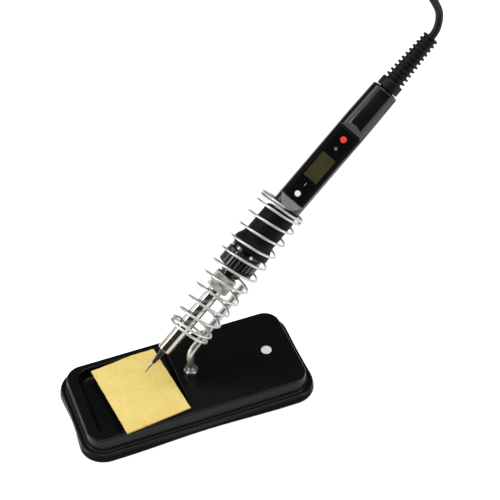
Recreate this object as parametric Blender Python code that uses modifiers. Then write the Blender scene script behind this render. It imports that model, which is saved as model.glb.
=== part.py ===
"""Soldering iron stand: a pressed steel base with a sponge tray, a wire-coil holder on a
threaded rod, and the temperature-controlled iron that rests in it, with its mains cord.

Metres, +Z up. The origin is on the table, under the middle of the stand with the iron in it.
"""

from math import asin, cos, pi, radians, sin, tan

import bmesh
import bpy
from mathutils import Matrix, Quaternion, Vector

MM = 0.001
GAP = 0.3 * MM

# Base: a pressed pan with a drafted wall, a ledge and a skirt that stands on four pads.
BASE_X = -45.76 * MM
BASE_Y = -5.59 * MM
BASE_LENGTH = 125.0 * MM
BASE_WIDTH = 55.4 * MM
BASE_HEIGHT = 12.8 * MM
BASE_CORNER = 9.0 * MM
SHEET = 0.8 * MM
SKIRT_BOTTOM = 0.5 * MM
LEDGE_TOP = 5.2 * MM
LEDGE_OUT = 4.0 * MM
SKIRT_OUT = 4.8 * MM
WALL_DRAFT = 1.0 * MM
RIDGE_RADIUS = 1.4 * MM

TRAY_LEFT = -56.5 * MM
TRAY_RIGHT = -4.8 * MM
TRAY_WIDTH = 48.6 * MM
TRAY_DEPTH = 6.0 * MM
TRAY_DRAFT = 1.2 * MM
TRAY_CORNER = 7.0 * MM

SPONGE_LENGTH = 49.3 * MM
SPONGE_WIDTH = 37.6 * MM
SPONGE_THICKNESS = 1.5 * MM
SPONGE_CENTRE = (-27.1 * MM, -2.0 * MM)
SPONGE_TURN = radians(6.5)
SPONGE_CORNER = 1.0 * MM

# Rod and coil that hold the iron.
STEM_X = 3.0 * MM
ROD_RADIUS = 2.0 * MM
ROD_BEND = 8.0 * MM
ROD_ALONG_COIL = 36.0 * MM
NUT_FLATS = 7.0 * MM
NUT_THICKNESS = 3.2 * MM
NUT_BORE = 2.35 * MM
WASHER_RADIUS = 4.5 * MM
WASHER_THICKNESS = 0.8 * MM

COIL_TILT = radians(39.5)
COIL_HEADING = radians(17.0)
COIL_START_BACK = 0.3 * MM
COIL_START_HEIGHT = 46.7 * MM
COIL_LENGTH = 85.3 * MM
COIL_TURNS = 13.5
COIL_CLOSED_PITCH = 1.7 * MM
COIL_WIRE = 0.75 * MM
COIL_RADIUS_LOW = 11.2 * MM
COIL_RADIUS_HIGH = 13.25 * MM
COIL_STEPS_PER_TURN = 14

SPARE_HOLE_X = 47.4 * MM
SPARE_HOLE_RADIUS = 2.3 * MM
HOLE_PLUG_RADIUS = 2.95 * MM

# Iron: its own frame has +Z from the tip along the iron and +X out of the display panel.
IRON_TIP = (-24.2 * MM, -3.65 * MM, 28.5 * MM)
IRON_TILT = radians(37.5)
IRON_HEADING = radians(13.4)
PANEL_ROLL = radians(216.3)
BARREL_RADIUS = 4.0 * MM
BARREL_START = 16.4 * MM
BARREL_END = 62.6 * MM
BARREL_NUT_START = 59.8 * MM
BARREL_NUT_END = 69.4 * MM
BARREL_NUT_RADIUS = 6.5 * MM
COLLAR_START = 70.8 * MM
COLLAR_END = 86.6 * MM
COLLAR_RADIUS = 10.05 * MM
GRIP_START = 86.9 * MM
GRIP_END = 113.2 * MM
GRIP_FLANGE_RADIUS = 11.15 * MM
GRIP_RADIUS = 8.95 * MM
GRIP_BORE = 7.2 * MM
HANDLE_START = 87.2 * MM
HANDLE_SHOULDER = 113.6 * MM
HANDLE_END = 197.9 * MM
HANDLE_RADIUS = 8.25 * MM
HANDLE_TOP_RADIUS = 7.85 * MM
HANDLE_CORE_RADIUS = 6.9 * MM
HANDLE_WALL = 1.5 * MM
PANEL_START = 122.9 * MM
PANEL_END = 169.2 * MM
PANEL_WIDTH = 11.8 * MM
PANEL_FLAT = 4.55 * MM
PANEL_TOP = 5.45 * MM
FACET_START = 117.2 * MM
FACET_END = 173.7 * MM
LCD_START = 137.1 * MM
LCD_END = 152.7 * MM
LCD_WIDTH = 8.7 * MM
MINUS_AT = 127.2 * MM
PLUS_AT = 164.0 * MM
MINUS_RADIUS = 1.58 * MM
PLUS_RADIUS = 1.74 * MM
BUTTON_TOP = 6.15 * MM
BUTTON_BOTTOM = 2.4 * MM
BUTTON_TRAVEL = 0.4 * MM
BOARD_BOTTOM = 0.3 * MM
BOARD_TOP = 1.3 * MM
SCREW_AT = 181.3 * MM
RELIEF_START = 198.2 * MM
RELIEF_NECK_END = 203.7 * MM
RELIEF_END = 233.7 * MM
RELIEF_RIBS = 11

# Mains cord, put away as a round coil beside the stand with the plug lying on it.
CORD_RADIUS = 2.1 * MM
CORD_STEP = 8.0 * MM
CORD_ROUTE = (
    (159.0, 40.2, 173.5),
    (160.8, 41.5, 176.5),
    (161.6, 42.6, 180.2),
    (161.2, 43.5, 184.0),
    (158.1, 44.7, 190.5),
    (153.9, 45.4, 196.7),
    (150.4, 45.3, 204.2),
    (149.0, 45.7, 212.0),
    (150.5, 45.5, 219.5),
    (155.0, 44.6, 226.0),
    (162.0, 42.8, 230.3),
    (171.0, 40.0, 231.2),
    (180.0, 36.0, 228.0),
    (188.0, 30.8, 219.5),
    (193.5, 25.0, 206.0),
    (197.0, 18.0, 186.0),
    (199.0, 9.5, 158.0),
    (199.8, -1.5, 125.0),
    (199.6, -13.0, 92.0),
    (199.0, -24.0, 62.0),
    (198.5, -31.5, 42.0),
    (198.5, -36.0, 25.0),
    (199.3, -34.8, 12.0),
    (200.1, -28.6, 4.8),
    (200.1, -20.5, 2.4),
    (198.3, -13.0, 2.15),
    (197.4, -6.0, 2.15),
)
CORD_COIL_CENTRE = (232.0 * MM, -5.0 * MM)
CORD_COIL_INNER = 18.4 * MM
CORD_COIL_OUTER = 31.9 * MM
CORD_COIL_HEIGHT = 8.8 * MM
LEAD_ROUTE = (
    (209.5, -26.5, 11.4),
    (202.4, -19.0, 13.4),
    (198.7, -9.0, 14.9),
    (199.3, 2.0, 15.8),
    (204.6, 11.0, 16.0),
)
PLUG_START = (218.5 * MM, 15.3 * MM)
PLUG_RELIEF = 14.0 * MM
PLUG_BODY = 33.0 * MM
PLUG_WIDTH = 35.3 * MM
PLUG_THICKNESS = 13.7 * MM
PIN_LENGTH = 19.0 * MM
PIN_RADIUS = 2.0 * MM
PIN_SPACING = 18.6 * MM


def clear_scene():
    for obj in list(bpy.data.objects):
        bpy.data.objects.remove(obj, do_unlink=True)


def new_collection(name):
    collection = bpy.data.collections.new(name)
    bpy.context.scene.collection.children.link(collection)
    return collection


def make_material(name, colour, roughness, metallic=0.0):
    material = bpy.data.materials.new(name)
    material.use_nodes = True
    shader = material.node_tree.nodes["Principled BSDF"]
    shader.inputs["Base Color"].default_value = (*colour, 1.0)
    shader.inputs["Roughness"].default_value = roughness
    shader.inputs["Metallic"].default_value = metallic
    material.diffuse_color = (*colour, 1.0)
    return material


clear_scene()
PARTS = new_collection("soldering_iron_stand")
CUTTERS = new_collection("cutters")

BLACK_PAINT = make_material("black_paint", (0.012, 0.012, 0.013), 0.35)
ZINC = make_material("zinc_plate", (0.72, 0.72, 0.68), 0.3, 1.0)
CHROME = make_material("polished_steel", (0.78, 0.78, 0.78), 0.15, 1.0)
NICKEL = make_material("knurled_nickel", (0.7, 0.7, 0.68), 0.25, 1.0)
TIP_PLATE = make_material("tip_plating", (0.06, 0.055, 0.055), 0.4, 0.8)
SPONGE_CELLULOSE = make_material("dry_sponge", (0.85, 0.68, 0.3), 0.9)
BLACK_RUBBER = make_material("black_rubber", (0.01, 0.01, 0.01), 0.7)
GLOSS_BLACK = make_material("gloss_black_plastic", (0.01, 0.01, 0.011), 0.18)
LCD_OLIVE = make_material("lcd_olive", (0.1, 0.11, 0.055), 0.2)
RED_PLASTIC = make_material("red_plastic", (0.75, 0.03, 0.02), 0.35)
WHITE_PLASTIC = make_material("white_plastic", (0.85, 0.85, 0.83), 0.35)
PALE_PLASTIC = make_material("pale_grey_plastic", (0.62, 0.63, 0.63), 0.45)
CERAMIC = make_material("ceramic", (0.9, 0.85, 0.8), 0.4)
BOARD_GREEN = make_material("board_green", (0.02, 0.2, 0.08), 0.5)
BRASS = make_material("pin_plating", (0.75, 0.72, 0.62), 0.25, 1.0)
CORD_BLACK = make_material("cord_sheath", (0.012, 0.012, 0.013), 0.45)


def add_object(name, data, material=None, collection=PARTS, frame=None):
    """Links an object; frame is the parent empty whose axes the object is drawn in."""
    obj = bpy.data.objects.new(name, data)
    collection.objects.link(obj)
    if material is not None:
        data.materials.append(material)
    if frame is not None:
        obj.parent = frame
    return obj


def add_frame(name, location, rotation, parent=None):
    empty = bpy.data.objects.new(name, None)
    empty.rotation_mode = "QUATERNION"
    empty.rotation_quaternion = rotation
    empty.location = location
    empty.empty_display_size = 10 * MM
    PARTS.objects.link(empty)
    empty.parent = parent
    return empty


def as_cutter(obj):
    obj.hide_render = True
    obj.display_type = "WIRE"
    return obj


def smooth(mesh, angle=radians(32)):
    mesh.shade_smooth()
    mesh.set_sharp_from_angle(angle=angle)


def mesh_from(name, bm):
    bmesh.ops.recalc_face_normals(bm, faces=bm.faces)
    mesh = bpy.data.meshes.new(name)
    bm.to_mesh(mesh)
    bm.free()
    return mesh


def box(name, low, high, material=None, collection=PARTS, frame=None, bevel=0.0):
    """A box from corner to corner, with rounded edges where bevel is given."""
    bm = bmesh.new()
    bmesh.ops.create_cube(bm, size=1.0)
    low, high = Vector(low), Vector(high)
    for vert in bm.verts:
        vert.co = Vector((low[i] + (vert.co[i] + 0.5) * (high[i] - low[i]) for i in range(3)))
    obj = add_object(name, mesh_from(name, bm), material, collection, frame)
    if bevel:
        rounding = obj.modifiers.new("edges", "BEVEL")
        rounding.width = bevel
        rounding.segments = 2
        rounding.limit_method = "ANGLE"
    return obj


def cylinder(
    name, radius, low, high, material=None, collection=PARTS, frame=None, axis="Z", at=(0, 0), sides=24
):
    """A cylinder along one axis of its frame; at gives its place across that axis."""
    bm = bmesh.new()
    bmesh.ops.create_cone(bm, cap_ends=True, segments=sides, radius1=radius, radius2=radius, depth=high - low)
    middle = (low + high) / 2
    if axis == "X":
        turn = Matrix.Rotation(radians(90), 4, "Y")
        place = Matrix.Translation((middle, at[0], at[1]))
    elif axis == "Y":
        turn = Matrix.Rotation(radians(-90), 4, "X")
        place = Matrix.Translation((at[0], middle, at[1]))
    else:
        turn = Matrix.Identity(4)
        place = Matrix.Translation((at[0], at[1], middle))
    bmesh.ops.transform(bm, matrix=place @ turn, verts=bm.verts)
    mesh = mesh_from(name, bm)
    smooth(mesh)
    return add_object(name, mesh, material, collection, frame)


def turned(name, profile, material=None, collection=PARTS, frame=None, steps=32, closed=False):
    """A turned shape: profile is (radius, height) down its outer side; closed joins last to first."""
    mesh = bpy.data.meshes.new(name)
    edges = [(i, i + 1) for i in range(len(profile) - 1)]
    if closed:
        edges.append((len(profile) - 1, 0))
    mesh.from_pydata([(r, 0.0, z) for r, z in profile], edges, [])
    obj = add_object(name, mesh, material, collection, frame)
    screw = obj.modifiers.new("turning", "SCREW")
    screw.steps = steps
    screw.render_steps = steps
    screw.use_merge_vertices = True
    screw.merge_threshold = 0.00001
    screw.use_smooth_shade = True
    return obj


def boolean(obj, cutter, operation="DIFFERENCE"):
    modifier = obj.modifiers.new(operation.lower() + "_" + cutter.name, "BOOLEAN")
    modifier.operation = operation
    modifier.solver = "EXACT"
    modifier.object = cutter
    return modifier


def rounded_rectangle(length, width, radius, height, per_corner=6, centre=(0.0, 0.0)):
    """Points round a rectangle with rounded corners, as a level loop."""
    points = []
    corners = ((1, 1, 0), (-1, 1, 90), (-1, -1, 180), (1, -1, 270))
    for sx, sy, start in corners:
        cx = centre[0] + sx * (length / 2 - radius)
        cy = centre[1] + sy * (width / 2 - radius)
        for i in range(per_corner + 1):
            angle = radians(start + 90 * i / per_corner)
            points.append(Vector((cx + radius * cos(angle), cy + radius * sin(angle), height)))
    return points


def loft(name, loops, material=None, collection=PARTS, frame=None):
    """A closed solid through loops of the same number of points, capped at both ends."""
    bm = bmesh.new()
    rings = [[bm.verts.new(point) for point in loop] for loop in loops]
    for lower, upper in zip(rings, rings[1:]):
        count = len(lower)
        for i in range(count):
            j = (i + 1) % count
            bm.faces.new((lower[i], lower[j], upper[j], upper[i]))
    bm.faces.new(list(reversed(rings[0])))
    bm.faces.new(rings[-1])
    mesh = mesh_from(name, bm)
    smooth(mesh)
    return add_object(name, mesh, material, collection, frame)


def extruded(name, outline, low, high, material=None, collection=PARTS, frame=None):
    """A flat outline in X and Y carried from one height to another."""
    loops = [[Vector((x, y, z)) for x, y in outline] for z in (low, high)]
    return loft(name, loops, material, collection, frame)


def tube(name, points, radius, material, frame=None, resolution=2):
    """A round wire or cord through points, with filled ends."""
    curve = bpy.data.curves.new(name, "CURVE")
    curve.dimensions = "3D"
    curve.bevel_depth = radius
    curve.bevel_resolution = resolution
    curve.use_fill_caps = True
    spline = curve.splines.new("POLY")
    spline.points.add(len(points) - 1)
    for point, place in zip(spline.points, points):
        point.co = (*place, 1.0)
    return add_object(name, curve, material, PARTS, frame)


def smooth_route(route, step):
    """Points about a step apart on a smooth curve through the route's own points."""
    points = []
    last = len(route) - 1
    for i in range(last):
        p0 = route[max(i - 1, 0)]
        p1 = route[i]
        p2 = route[i + 1]
        p3 = route[min(i + 2, last)]
        count = max(1, round((p2 - p1).length / step))
        for k in range(count):
            t = k / count
            pull = p0 * (-t + 2 * t**2 - t**3) + p1 * (2 - 5 * t**2 + 3 * t**3)
            pull += p2 * (t + 4 * t**2 - 3 * t**3) + p3 * (t**3 - t**2)
            points.append(pull / 2)
    points.append(route[-1])
    return points


def base_loop(out, height):
    """The base's outline moved outward by a distance, at a height."""
    return rounded_rectangle(
        BASE_LENGTH + 2 * out, BASE_WIDTH + 2 * out, BASE_CORNER + out, height, centre=(BASE_X, BASE_Y)
    )


def base_outside(inset):
    """Loops of the pan's outside, bottom to top, moved inward by a sheet thickness."""
    drop = inset
    loops = [
        base_loop(SKIRT_OUT - inset, SKIRT_BOTTOM - inset),
        base_loop(LEDGE_OUT - inset, LEDGE_TOP - 1.0 * MM - drop / 2),
        base_loop(LEDGE_OUT - 1.0 * MM - inset, LEDGE_TOP - drop),
        base_loop(WALL_DRAFT + 0.6 * MM - inset, LEDGE_TOP - drop),
        base_loop(WALL_DRAFT - inset, LEDGE_TOP + 0.8 * MM - drop),
    ]
    for i in range(5):
        angle = radians(90 * i / 4)
        out = -RIDGE_RADIUS * (1 - cos(angle)) - inset
        height = BASE_HEIGHT - drop - RIDGE_RADIUS * (1 - sin(angle))
        loops.append(base_loop(out, height))
    return loops


def tray_loops(grow):
    """Loops of the sponge tray, bottom to top, moved outward into its own sheet."""
    length = TRAY_RIGHT - TRAY_LEFT
    centre = (BASE_X + (TRAY_LEFT + TRAY_RIGHT) / 2, BASE_Y)
    floor = BASE_HEIGHT - TRAY_DEPTH
    loops = []
    under_lip = BASE_HEIGHT - 0.9 * MM + grow * 0.6
    heights = (floor - grow, floor + 1.2 * MM - grow / 2, under_lip, BASE_HEIGHT + 0.2 * MM)
    outs = (-TRAY_DRAFT - 1.2 * MM, -TRAY_DRAFT, -0.2 * MM, 0.7 * MM)
    for height, out in zip(heights, outs):
        extra = out + grow
        wide = TRAY_WIDTH + 2 * extra
        corner = TRAY_CORNER + extra
        loops.append(rounded_rectangle(length + 2 * extra, wide, corner, height, centre=centre))
    return loops


def make_base():
    shell = loft("base_shell", base_outside(0.0), BLACK_PAINT)
    hollow = as_cutter(loft("base_hollow", base_outside(SHEET), collection=CUTTERS))
    tray_block = as_cutter(loft("tray_block", tray_loops(SHEET)[:3], collection=CUTTERS))
    tray_space = as_cutter(loft("tray_space", tray_loops(0.0), collection=CUTTERS))
    boolean(shell, hollow)
    boolean(shell, tray_block, "UNION")
    boolean(shell, tray_space)
    low, high = BASE_HEIGHT - 3 * MM, BASE_HEIGHT + 2 * MM
    for name, x, radius in (
        ("stem_hole", STEM_X, NUT_BORE),
        ("spare_hole", SPARE_HOLE_X, SPARE_HOLE_RADIUS + GAP),
    ):
        hole = cylinder(name, radius, low, high, collection=CUTTERS, at=(BASE_X + x, BASE_Y))
        boolean(shell, as_cutter(hole))
    return shell


def make_feet():
    """Four anti-slip pads pressed up under the ledge, one at each corner of the long sides."""
    inner = BASE_WIDTH / 2 + 0.2 * MM
    outer = BASE_WIDTH / 2 + LEDGE_OUT - SHEET - 0.6 * MM
    top = LEDGE_TOP - SHEET - 1.0 * MM
    for end, x in (("left", -1), ("right", 1)):
        for side, y in (("front", -1), ("back", 1)):
            middle = BASE_X + x * (BASE_LENGTH / 2 - 16 * MM)
            ys = sorted((BASE_Y + y * inner, BASE_Y + y * outer))
            box(
                f"foot_pad_{side}_{end}",
                (middle - 8 * MM, ys[0], 0.0),
                (middle + 8 * MM, ys[1], top),
                BLACK_RUBBER,
                bevel=0.3 * MM,
            )


def make_sponge():
    """A dry cellulose sheet laid over the tray, one corner trimmed a little."""
    half_w, half_l = SPONGE_WIDTH / 2, SPONGE_LENGTH / 2
    outline = []
    for point in rounded_rectangle(SPONGE_WIDTH, SPONGE_LENGTH, SPONGE_CORNER, 0.0, per_corner=3):
        x, y = point.x, point.y
        if y > half_l - 2 * MM and x > half_w / 3:
            y -= 1.5 * MM * (x - half_w / 3) / (half_w * 2 / 3)
        outline.append(
            (
                BASE_X + SPONGE_CENTRE[0] + x * cos(SPONGE_TURN) - y * sin(SPONGE_TURN),
                BASE_Y + SPONGE_CENTRE[1] + x * sin(SPONGE_TURN) + y * cos(SPONGE_TURN),
            )
        )
    bottom = BASE_HEIGHT + GAP
    return extruded("sponge", outline, bottom, bottom + SPONGE_THICKNESS, SPONGE_CELLULOSE)


def lean(tilt, heading):
    """The turn that takes +Z to a direction that rises at a tilt towards the heading."""
    return Quaternion((0, 0, 1), heading) @ Quaternion((0, 1, 0), radians(90) - tilt)


def coil_radius(along):
    """The coil widens from its lower end, quickest at first."""
    share = min(max(along / COIL_LENGTH, 0.0), 1.0)
    return COIL_RADIUS_LOW + (COIL_RADIUS_HIGH - COIL_RADIUS_LOW) * sin(share * pi / 2)


def coil_height_steps():
    """Height of each point along the wire: closed turns at both ends, open turns between."""
    count = round(COIL_TURNS * COIL_STEPS_PER_TURN)
    openness = []
    for i in range(count):
        turn = (i + 0.5) / COIL_STEPS_PER_TURN
        from_end = min((turn - 0.7) / 1.6, (COIL_TURNS - 1.2 - turn) / 1.6)
        share = min(max(from_end, 0.0), 1.0)
        openness.append(share * share * (3 - 2 * share))
    closed = COIL_CLOSED_PITCH * COIL_TURNS
    open_extra = (COIL_LENGTH - closed) / sum(openness)
    heights = [0.0]
    for share in openness:
        heights.append(heights[-1] + COIL_CLOSED_PITCH / COIL_STEPS_PER_TURN + share * open_extra)
    return heights


def make_coil(frame):
    points = []
    for i, height in enumerate(coil_height_steps()):
        angle = 2 * pi * i / COIL_STEPS_PER_TURN + radians(40)
        radius = coil_radius(height)
        points.append(Vector((radius * cos(angle), radius * sin(angle), height)))
    return tube("holder_coil", points, COIL_WIRE, ZINC, frame)


def rod_points(frame):
    """Up from under the base, over a bend, then along the underside of the coil."""
    below = COIL_RADIUS_LOW + COIL_WIRE + GAP + ROD_RADIUS
    spread = (COIL_RADIUS_HIGH - COIL_RADIUS_LOW) * sin(ROD_ALONG_COIL / COIL_LENGTH * pi / 2)
    turn = frame.rotation_quaternion
    start = frame.location + turn @ Vector((below, 0.0, 0.0))
    end = frame.location + turn @ Vector((below + spread, 0.0, ROD_ALONG_COIL))
    along = (end - start).normalized()
    stem = Vector((BASE_X + STEM_X, BASE_Y, 0.0))
    reach = (start.x - stem.x) / along.x
    corner = start - along * reach
    corner = Vector((stem.x, stem.y, corner.z))
    along = (end - corner).normalized()
    bend = radians(90) - asin(along.z)
    trim = ROD_BEND * tan(bend / 2)
    points = [Vector((stem.x, stem.y, 2.0 * MM)), corner - Vector((0, 0, trim))]
    centre = corner - Vector((0, 0, trim)) + Vector((along.x, along.y, 0)).normalized() * ROD_BEND
    outward = (Vector((stem.x, stem.y, centre.z)) - centre).normalized()
    for i in range(1, 9):
        angle = bend * i / 8
        points.append(centre + outward * ROD_BEND * cos(angle) + Vector((0, 0, ROD_BEND * sin(angle))))
    points.append(end)
    return points


def hexagon_nut(name, low, material):
    """A nut: a hexagonal prism with chamfered corners and a clear bore for the rod."""
    bm = bmesh.new()
    radius = NUT_FLATS / 2 / cos(radians(30))
    bmesh.ops.create_cone(
        bm, cap_ends=True, segments=6, radius1=radius, radius2=radius, depth=NUT_THICKNESS
    )
    place = Matrix.Translation((BASE_X + STEM_X, BASE_Y, low + NUT_THICKNESS / 2))
    bmesh.ops.transform(bm, matrix=place @ Matrix.Rotation(radians(14), 4, "Z"), verts=bm.verts)
    nut = add_object(name, mesh_from(name, bm), material)
    bore = cylinder(
        name + "_bore",
        NUT_BORE,
        low - MM,
        low + NUT_THICKNESS + MM,
        collection=CUTTERS,
        at=(BASE_X + STEM_X, BASE_Y),
        sides=20,
    )
    boolean(nut, as_cutter(bore))
    return nut


def make_fasteners():
    hexagon_nut("rod_top_nut", BASE_HEIGHT + GAP, ZINC)
    under_sheet = BASE_HEIGHT - SHEET - GAP
    washer = turned(
        "rod_washer",
        [
            (WASHER_RADIUS, under_sheet),
            (WASHER_RADIUS, under_sheet - WASHER_THICKNESS),
            (NUT_BORE, under_sheet - WASHER_THICKNESS),
            (NUT_BORE, under_sheet),
        ],
        ZINC,
        closed=True,
        steps=28,
    )
    washer.location = (BASE_X + STEM_X, BASE_Y, 0.0)
    hexagon_nut("rod_bottom_nut", under_sheet - WASHER_THICKNESS - GAP - NUT_THICKNESS, ZINC)
    top = BASE_HEIGHT + GAP
    plug = turned(
        "hole_plug",
        [
            (0.0, top + 0.6 * MM),
            (HOLE_PLUG_RADIUS - 0.4 * MM, top + 0.55 * MM),
            (HOLE_PLUG_RADIUS, top + 0.2 * MM),
            (HOLE_PLUG_RADIUS, top),
            (SPARE_HOLE_RADIUS, top),
            (SPARE_HOLE_RADIUS, top - 2.6 * MM),
            (SPARE_HOLE_RADIUS - 0.5 * MM, top - 3.2 * MM),
            (0.0, top - 3.2 * MM),
        ],
        PALE_PLASTIC,
        steps=28,
    )
    plug.location = (BASE_X + SPARE_HOLE_X, BASE_Y, 0.0)


def make_tip_and_barrel(frame):
    turned(
        "soldering_tip",
        [
            (3.1 * MM, 42.9 * MM),
            (3.1 * MM, 17.9 * MM),
            (2.3 * MM, 17.5 * MM),
            (1.75 * MM, 14.3 * MM),
            (0.8 * MM, 7.2 * MM),
            (0.5 * MM, 6.6 * MM),
            (0.28 * MM, 0.3 * MM),
            (0.0, 0.0),
            (0.0, 22.2 * MM),
            (2.1 * MM, 23.2 * MM),
            (2.1 * MM, 42.9 * MM),
        ],
        TIP_PLATE,
        frame=frame,
        closed=True,
        steps=24,
    )
    shell = BARREL_RADIUS - 0.6 * MM
    turned(
        "heater_barrel",
        [
            (BARREL_RADIUS, BARREL_END - 0.9 * MM),
            (BARREL_RADIUS, BARREL_START + 0.3 * MM),
            (BARREL_RADIUS - 0.3 * MM, BARREL_START),
            (2.6 * MM, BARREL_START),
            (2.6 * MM, BARREL_START + 0.8 * MM),
            (shell, BARREL_START + 0.8 * MM),
            (shell, BARREL_END),
            (4.9 * MM, BARREL_END),
            (4.9 * MM, BARREL_END - 0.9 * MM),
        ],
        CHROME,
        frame=frame,
        closed=True,
        steps=36,
    )
    turned(
        "heater_core",
        [(0.0, 73.2 * MM), (1.7 * MM, 73.2 * MM), (1.7 * MM, 23.5 * MM), (0.0, 23.5 * MM)],
        CERAMIC,
        frame=frame,
        steps=16,
    )


def make_barrel_nut(frame):
    """The knurled nut that clamps the barrel: two rings with a groove between them."""
    low, high, radius = BARREL_NUT_START, BARREL_NUT_END, BARREL_NUT_RADIUS
    groove = (low + high) / 2 - 0.6 * MM
    turned(
        "barrel_nut",
        [
            (radius - 0.4 * MM, high),
            (radius, high - 0.4 * MM),
            (radius, groove + 0.7 * MM),
            (radius - 0.8 * MM, groove + 0.3 * MM),
            (radius - 0.8 * MM, groove - 0.3 * MM),
            (radius, groove - 0.7 * MM),
            (radius, low + 0.4 * MM),
            (radius - 0.4 * MM, low),
            (4.3 * MM, low),
            (4.3 * MM, BARREL_END - 1.2 * MM),
            (5.2 * MM, BARREL_END - 1.2 * MM),
            (5.2 * MM, high),
        ],
        NICKEL,
        frame=frame,
        closed=True,
        steps=36,
    )


def make_collar(frame):
    """Black heat-proof collar: threaded spigot in front, fluted ring, stub into the handle."""
    turned(
        "front_collar",
        [
            (5.6 * MM, 94.5 * MM),
            (5.6 * MM, COLLAR_END),
            (8.75 * MM, COLLAR_END),
            (8.75 * MM, 84.2 * MM),
            (COLLAR_RADIUS, 83.8 * MM),
            (COLLAR_RADIUS, 74.4 * MM),
            (COLLAR_RADIUS - 0.6 * MM, 73.8 * MM),
            (6.0 * MM, 73.6 * MM),
            (5.6 * MM, COLLAR_START),
            (4.8 * MM, COLLAR_START),
            (4.8 * MM, BARREL_END + 0.4 * MM),
            (2.2 * MM, BARREL_END + 0.4 * MM),
            (2.2 * MM, 94.5 * MM),
        ],
        GLOSS_BLACK,
        frame=frame,
        closed=True,
        steps=36,
    )


def make_grip(frame):
    turned(
        "grip_sleeve",
        [
            (GRIP_RADIUS - 0.4 * MM, GRIP_END),
            (GRIP_RADIUS, GRIP_END - 0.4 * MM),
            (GRIP_RADIUS, 97.4 * MM),
            (GRIP_RADIUS + 0.25 * MM, 95.0 * MM),
            (GRIP_FLANGE_RADIUS - 0.35 * MM, 91.0 * MM),
            (GRIP_FLANGE_RADIUS, 90.0 * MM),
            (GRIP_FLANGE_RADIUS, GRIP_START + 0.5 * MM),
            (GRIP_FLANGE_RADIUS - 0.5 * MM, GRIP_START),
            (GRIP_BORE, GRIP_START),
            (GRIP_BORE, GRIP_END),
        ],
        BLACK_RUBBER,
        frame=frame,
        closed=True,
        steps=40,
    )


def handle_profile():
    return [
        (0.0, HANDLE_END),
        (HANDLE_TOP_RADIUS - 0.8 * MM, HANDLE_END),
        (HANDLE_TOP_RADIUS, HANDLE_END - 0.8 * MM),
        (HANDLE_RADIUS, FACET_END + 2 * MM),
        (HANDLE_RADIUS, HANDLE_SHOULDER + 0.5 * MM),
        (HANDLE_RADIUS - 0.5 * MM, HANDLE_SHOULDER),
        (HANDLE_CORE_RADIUS, HANDLE_SHOULDER),
        (HANDLE_CORE_RADIUS, HANDLE_START),
        (0.0, HANDLE_START),
    ]


def handle_space(name, frame):
    """The handle's inside: a round hollow that stays clear of the display flat."""
    radius = HANDLE_RADIUS - HANDLE_WALL
    hollow = turned(
        name,
        [
            (0.0, HANDLE_END + MM),
            (4.5 * MM, HANDLE_END + MM),
            (4.5 * MM, HANDLE_END - 2.5 * MM),
            (radius - 0.6 * MM, HANDLE_END - 2.6 * MM),
            (radius, FACET_END),
            (radius, HANDLE_SHOULDER + 2.5 * MM),
            (5.9 * MM, HANDLE_SHOULDER - 2 * MM),
            (5.9 * MM, HANDLE_START - MM),
            (0.0, HANDLE_START - MM),
        ],
        collection=CUTTERS,
        frame=frame,
        steps=32,
    )
    as_cutter(hollow)
    ceiling = box(
        name + "_ceiling",
        (PANEL_FLAT - 1.1 * MM, -10 * MM, FACET_START - 2 * MM),
        (12 * MM, 10 * MM, FACET_END + 2 * MM),
        collection=CUTTERS,
        frame=frame,
    )
    boolean(hollow, as_cutter(ceiling))
    return hollow


def display_flat(name, frame):
    """The wedge that leaves the flat and its two sloping ends."""
    far = 12 * MM
    slope_low = (PANEL_START - FACET_START) / (HANDLE_RADIUS - PANEL_FLAT)
    slope_high = (FACET_END - PANEL_END) / (HANDLE_RADIUS - PANEL_FLAT)
    outline = (
        (PANEL_FLAT, PANEL_START),
        (far, PANEL_START - slope_low * (far - PANEL_FLAT)),
        (far, PANEL_END + slope_high * (far - PANEL_FLAT)),
        (PANEL_FLAT, PANEL_END),
    )
    loops = [[Vector((x, y, z)) for x, z in outline] for y in (-10 * MM, 10 * MM)]
    return as_cutter(loft(name, loops, collection=CUTTERS, frame=frame))


def screw_boss(obj, name, low, high, frame):
    """A post for the handle screw, joined to a shell and cut to its round outside."""
    post = cylinder(name, 2.5 * MM, low, high, collection=CUTTERS, frame=frame, axis="X", at=(0.0, SCREW_AT))
    boolean(obj, as_cutter(post), "UNION")


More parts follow.
